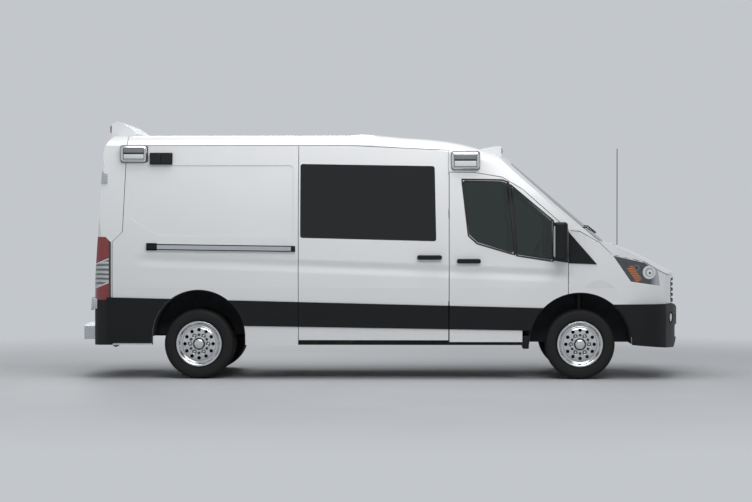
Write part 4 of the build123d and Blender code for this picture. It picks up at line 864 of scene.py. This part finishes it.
def rod_through(name, points, radius, material):
    """A bar along a line of points: a curve with a round section, made a mesh."""
    curve = bpy.data.curves.new(name, "CURVE")
    curve.dimensions, curve.use_fill_caps = "3D", True
    curve.bevel_depth, curve.bevel_resolution = radius, 3
    line = curve.splines.new("POLY")
    line.points.add(len(points) - 1)
    for place, point in zip(line.points, points):
        place.co = (*point, 1.0)
    holder = bpy.data.objects.new(name, curve)
    bpy.context.scene.collection.objects.link(holder)
    make_active(holder)
    bpy.ops.object.convert(target="MESH")
    bar = bpy.context.object
    bpy.ops.object.shade_smooth_by_angle(angle=radians(40))
    bar.data.materials.append(material)
    return bar


for name, inner, outer in (("wiper_right", -0.06, -0.66), ("wiper_left", 0.62, 0.02)):
    sweep = [inner + (outer - inner) * step / BLADE_STEPS for step in range(BLADE_STEPS + 1)]
    elbow = sweep[BLADE_STEPS // 2]
    blade = rod_through("blade", [on_glass(BLADE_X, y) for y in sweep], 0.007, gasket)
    arm = rod_through("arm", [on_glass(FOOT_X, inner), on_glass(ELBOW_X, elbow)], 0.009, polypropylene)
    wiper = join_pieces(name, blade, arm)
    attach(wiper, "body")

# Front door window seals: black extruded rubber pressed into the door round each pane, with a
# black applique over the slanted post between them and over the front post by the mirror.
# Outlines of the panes, x and z in mm
DROP_PANE = ((815, 1955), (1195, 1948), (1258, 1926), (1318, 1236), (960, 1346), (880, 1420))
QUARTER_PANE = ((1290, 1900), (1690, 1553), (1690, 1172), (1350, 1226))
# Corners of each applique: upper rear, upper front, lower front, lower rear
POSTS = (
    ((1250, 1935), (1296, 1905), (1356, 1222), (1312, 1232)),
    ((1682, 1566), (1704, 1548), (1704, 1156), (1682, 1166)),
)
SEAL_R, SEAL_SPREAD, SEAL_STEP = 0.009, 12, 30
# The door's face where a post stands past its edge
DOOR_FACE = -0.98
door_tree = tree_of("front_door_right")


def on_door(x, z, proud):
    """The point of the right door's outer face at a place in side view, moved out a little."""
    spot = door_tree.ray_cast(Vector((x, -2.0, z)), Vector((0, 1, 0)))[0]
    face = spot.y if spot and spot.y < -0.8 else DOOR_FACE
    return Vector((x, face - proud, z))


def seal_line(outline):
    """Points every 30 mm round an outline, spread outwards onto the panel."""
    middle = sum((Vector(corner) for corner in outline), Vector((0, 0))) / len(outline)
    wide = [Vector(c) + (Vector(c) - middle).normalized() * SEAL_SPREAD for c in outline]
    points = []
    for start, end in zip(wide, wide[1:] + wide[:1]):
        count = max(2, int((end - start).length / SEAL_STEP))
        points += [start.lerp(end, step / count) for step in range(count)]
    return [on_door(p.x / 1000, p.y / 1000, -0.003) for p in points]


parts = []
for outline in (DROP_PANE, QUARTER_PANE):
    line = seal_line(outline)
    parts.append(rod_through("seal", line + line[:2], SEAL_R, gasket))
for corners in POSTS:
    bpy.ops.object.select_all(action="DESELECT")
    bpy.ops.mesh.primitive_grid_add(x_subdivisions=3, y_subdivisions=12, size=2)
    post = bpy.context.object
    a, b, c, d = (Vector(corner) / 1000 for corner in corners)
    for vertex in post.data.vertices:
        u, v = (vertex.co.x + 1) / 2, (vertex.co.y + 1) / 2
        flat = d.lerp(c, u).lerp(a.lerp(b, u), v)
        vertex.co = on_door(flat.x, flat.y, 0.003)
    apply_modifier(post, "SOLIDIFY", {"thickness": 0.004, "offset": 0})
    bpy.ops.object.mode_set(mode="EDIT")
    close_piece(post)
    post.data.materials.append(gasket)
    parts.append(post)
seal = join_pieces("door_seals_right", *parts)
for piece, body in ((seal, "front_door_right"), (other_side(seal, "door_seals_left"), "front_door_left")):
    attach(piece, body)

# Fog lamps: clear round polycarbonate lenses in dished black bezels, turned out to the side
# and clipped into the bumper's corners.
FOG_Y, FOG_Z, FOG_TURN = 0.70, 0.60, radians(-22)
# Columns: distance ahead of the bumper's face, radius, in mm
BEZEL_LINE = ((-20, 62), (4, 62), (7, 58), (5, 50), (-3, 44), (-6, 43))
LENS_LINE = ((-6, 43), (1, 40), (5, 26), (6.5, 10), (6.8, 0.01))
spot = tree_of("front_bumper").ray_cast(Vector((4.0, -FOG_Y, FOG_Z)), Vector((-1, 0, 0)))[0]
parts = []
for line, material in ((BEZEL_LINE, polypropylene), (LENS_LINE, lens_bright)):
    parts.append(lathe("ring", [(out / 1000, 0, radius / 1000) for out, radius in line], 48, (1, 0, 0)))
    parts[-1].data.materials.append(material)
fog = join_pieces("fog_lamp_right", *parts)
fog.data.transform(Matrix.Translation(spot) @ Matrix.Rotation(FOG_TURN, 4, "Z"))
for piece in (fog, other_side(fog, "fog_lamp_left")):
    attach(piece, "body")

# Bumper returns: black polypropylene moulded with the bumper's grain. Each fills the corner
# between the bumper's end and the front wheel arch and is clipped to both.
ARCH_R = 0.507
RETURN_TOP, RETURN_FOOT, RETURN_FRONT = 0.735, 0.347, 2.480
RETURN_OUT, RETURN_IN = -1.0095, -0.968
ARCH_STEPS = 20
heights = [RETURN_TOP + (RETURN_FOOT - RETURN_TOP) * step / ARCH_STEPS for step in range(ARCH_STEPS)]
# Down the arch, then up along the bumper's end
corner = [(FRONT_AXLE.x + (ARCH_R ** 2 - (z - FRONT_AXLE.z) ** 2) ** 0.5, z) for z in heights]
corner += [(RETURN_FRONT, RETURN_FOOT + 0.012), (RETURN_FRONT, RETURN_TOP)]
panel = start_piece("bumper_return_right")
draw_line([(x, RETURN_OUT, z) for x, z in corner])
bpy.ops.mesh.edge_face_add()
bpy.ops.mesh.extrude_region_move(TRANSFORM_OT_translate={"value": (0, RETURN_IN - RETURN_OUT, 0)})
close_piece(panel)
apply_modifier(panel, "BEVEL", {"width": 0.003, "segments": 2, "limit_method": "ANGLE"})
panel.data.materials.append(polypropylene)
for piece in (panel, other_side(panel, "bumper_return_left")):
    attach(piece, "body")

# Liner feet: blocks of black polypropylene that close the rear ends of the front arch
# liners against the sills, clear of the tyres at full lock.
FOOT_LOW, FOOT_HIGH = (1.404, -0.968, 0.300), (1.466, -0.660, 0.430)
foot = block_piece("liner_foot_right", FOOT_LOW, FOOT_HIGH, 0.008, 3, polypropylene)
for piece in (foot, other_side(foot, "liner_foot_left")):
    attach(piece, "body")

# Studio: a pale floor that runs out into an even pale surround, one broad soft lamp
# overhead and two at the sides. The camera stands where the photograph was taken.
FLOOR_COLOUR, SURROUND = "#BFC2C5", "#C3C7CB"
FLOOR_R, FADE_START, FADE_END = 40, 4.0, 9.0
EVEN_LIGHT = 0.36
floor_paint, shader, place = new_finish("studio_floor", {"Roughness": 0.6, "Specular IOR Level": 0.2})
mottle = noise(place, 0.8, 5.0)
tint(shader, mottle, "#B3B6BA", FLOOR_COLOUR)
tree = shader.id_data
far = add_node(tree, "VectorMath", {"operation": "LENGTH"}, {0: place}).outputs["Value"]
fade = remap(far, FADE_START, FADE_END, kind="SMOOTHSTEP")
glow = add_node(tree, "Emission", {"Color": linear(SURROUND), "Strength": 1.0})
mixed = add_node(tree, "MixShader", {}, {0: fade, 1: shader.outputs[0], 2: glow.outputs[0]})
tree.links.new(mixed.outputs[0], tree.nodes["Material Output"].inputs["Surface"])
bpy.ops.object.select_all(action="DESELECT")
bpy.ops.mesh.primitive_circle_add(vertices=96, radius=FLOOR_R, fill_type="NGON", location=(0, 0, 0))
floor = bpy.context.object
floor.name = "studio_floor"
floor.data.materials.append(floor_paint)

world = bpy.data.worlds.new("soft_surround")
bpy.context.scene.world = world
world.use_nodes = True
tree = world.node_tree
tree.nodes.clear()
seen = add_node(tree, "LightPath")
direct = compute("ADD", seen.outputs["Is Camera Ray"], seen.outputs["Is Glossy Ray"])
rays = {0: direct, 1: seen.outputs["Is Transmission Ray"]}
shown = add_node(tree, "Math", {"operation": "ADD", "use_clamp": True}, rays)
even = add_node(tree, "Background", {"Color": linear("#FFFFFF"), "Strength": EVEN_LIGHT})
backdrop = add_node(tree, "Background", {"Color": linear(SURROUND), "Strength": 1.0})
mixed = add_node(tree, "MixShader", {}, {0: shown.outputs[0], 1: even.outputs[0], 2: backdrop.outputs[0]})
add_node(tree, "OutputWorld", {}, {"Surface": mixed.outputs[0]})

# Columns: name, place, aimed at, size across, size along, power in watts
SOFTBOXES = (
    ("overhead_softbox", (0.0, -1.5, 7.0), (0.0, 0.0, 1.0), 7.0, 4.0, 250),
    ("near_softbox", (2.0, -8.0, 7.2), (0.0, 0.0, 0.9), 7.0, 3.0, 290),
    ("far_softbox", (-3.0, 8.5, 5.5), (0.0, 0.0, 1.2), 6.0, 3.0, 200),
)
for name, spot, aim, across, along, power in SOFTBOXES:
    lamp = bpy.data.lights.new(name, "AREA")
    lamp.shape, lamp.size, lamp.size_y, lamp.energy = "RECTANGLE", across, along, power
    holder = bpy.data.objects.new(name, lamp)
    bpy.context.scene.collection.objects.link(holder)
    holder.location = spot
    holder.rotation_euler = (Vector(aim) - Vector(spot)).to_track_quat("-Z", "Y").to_euler()

# A long lens from 24 m off the near side puts near and far wheels where the photograph has them
LENS_MM, SENSOR_MM = 117.07, 36.0
STAND, STAND_TILT, STAND_TURN = (0.592, -25.0, 1.6), radians(90 - 0.808), radians(1.499)
camera = bpy.data.cameras.new("photograph_view")
camera.lens, camera.sensor_width = LENS_MM, SENSOR_MM
stand = bpy.data.objects.new("photograph_view", camera)
bpy.context.scene.collection.objects.link(stand)
stand.location = STAND
stand.rotation_euler = (STAND_TILT, 0, STAND_TURN)
bpy.context.scene.camera = stand
bpy.context.scene.view_settings.view_transform = "Standard"
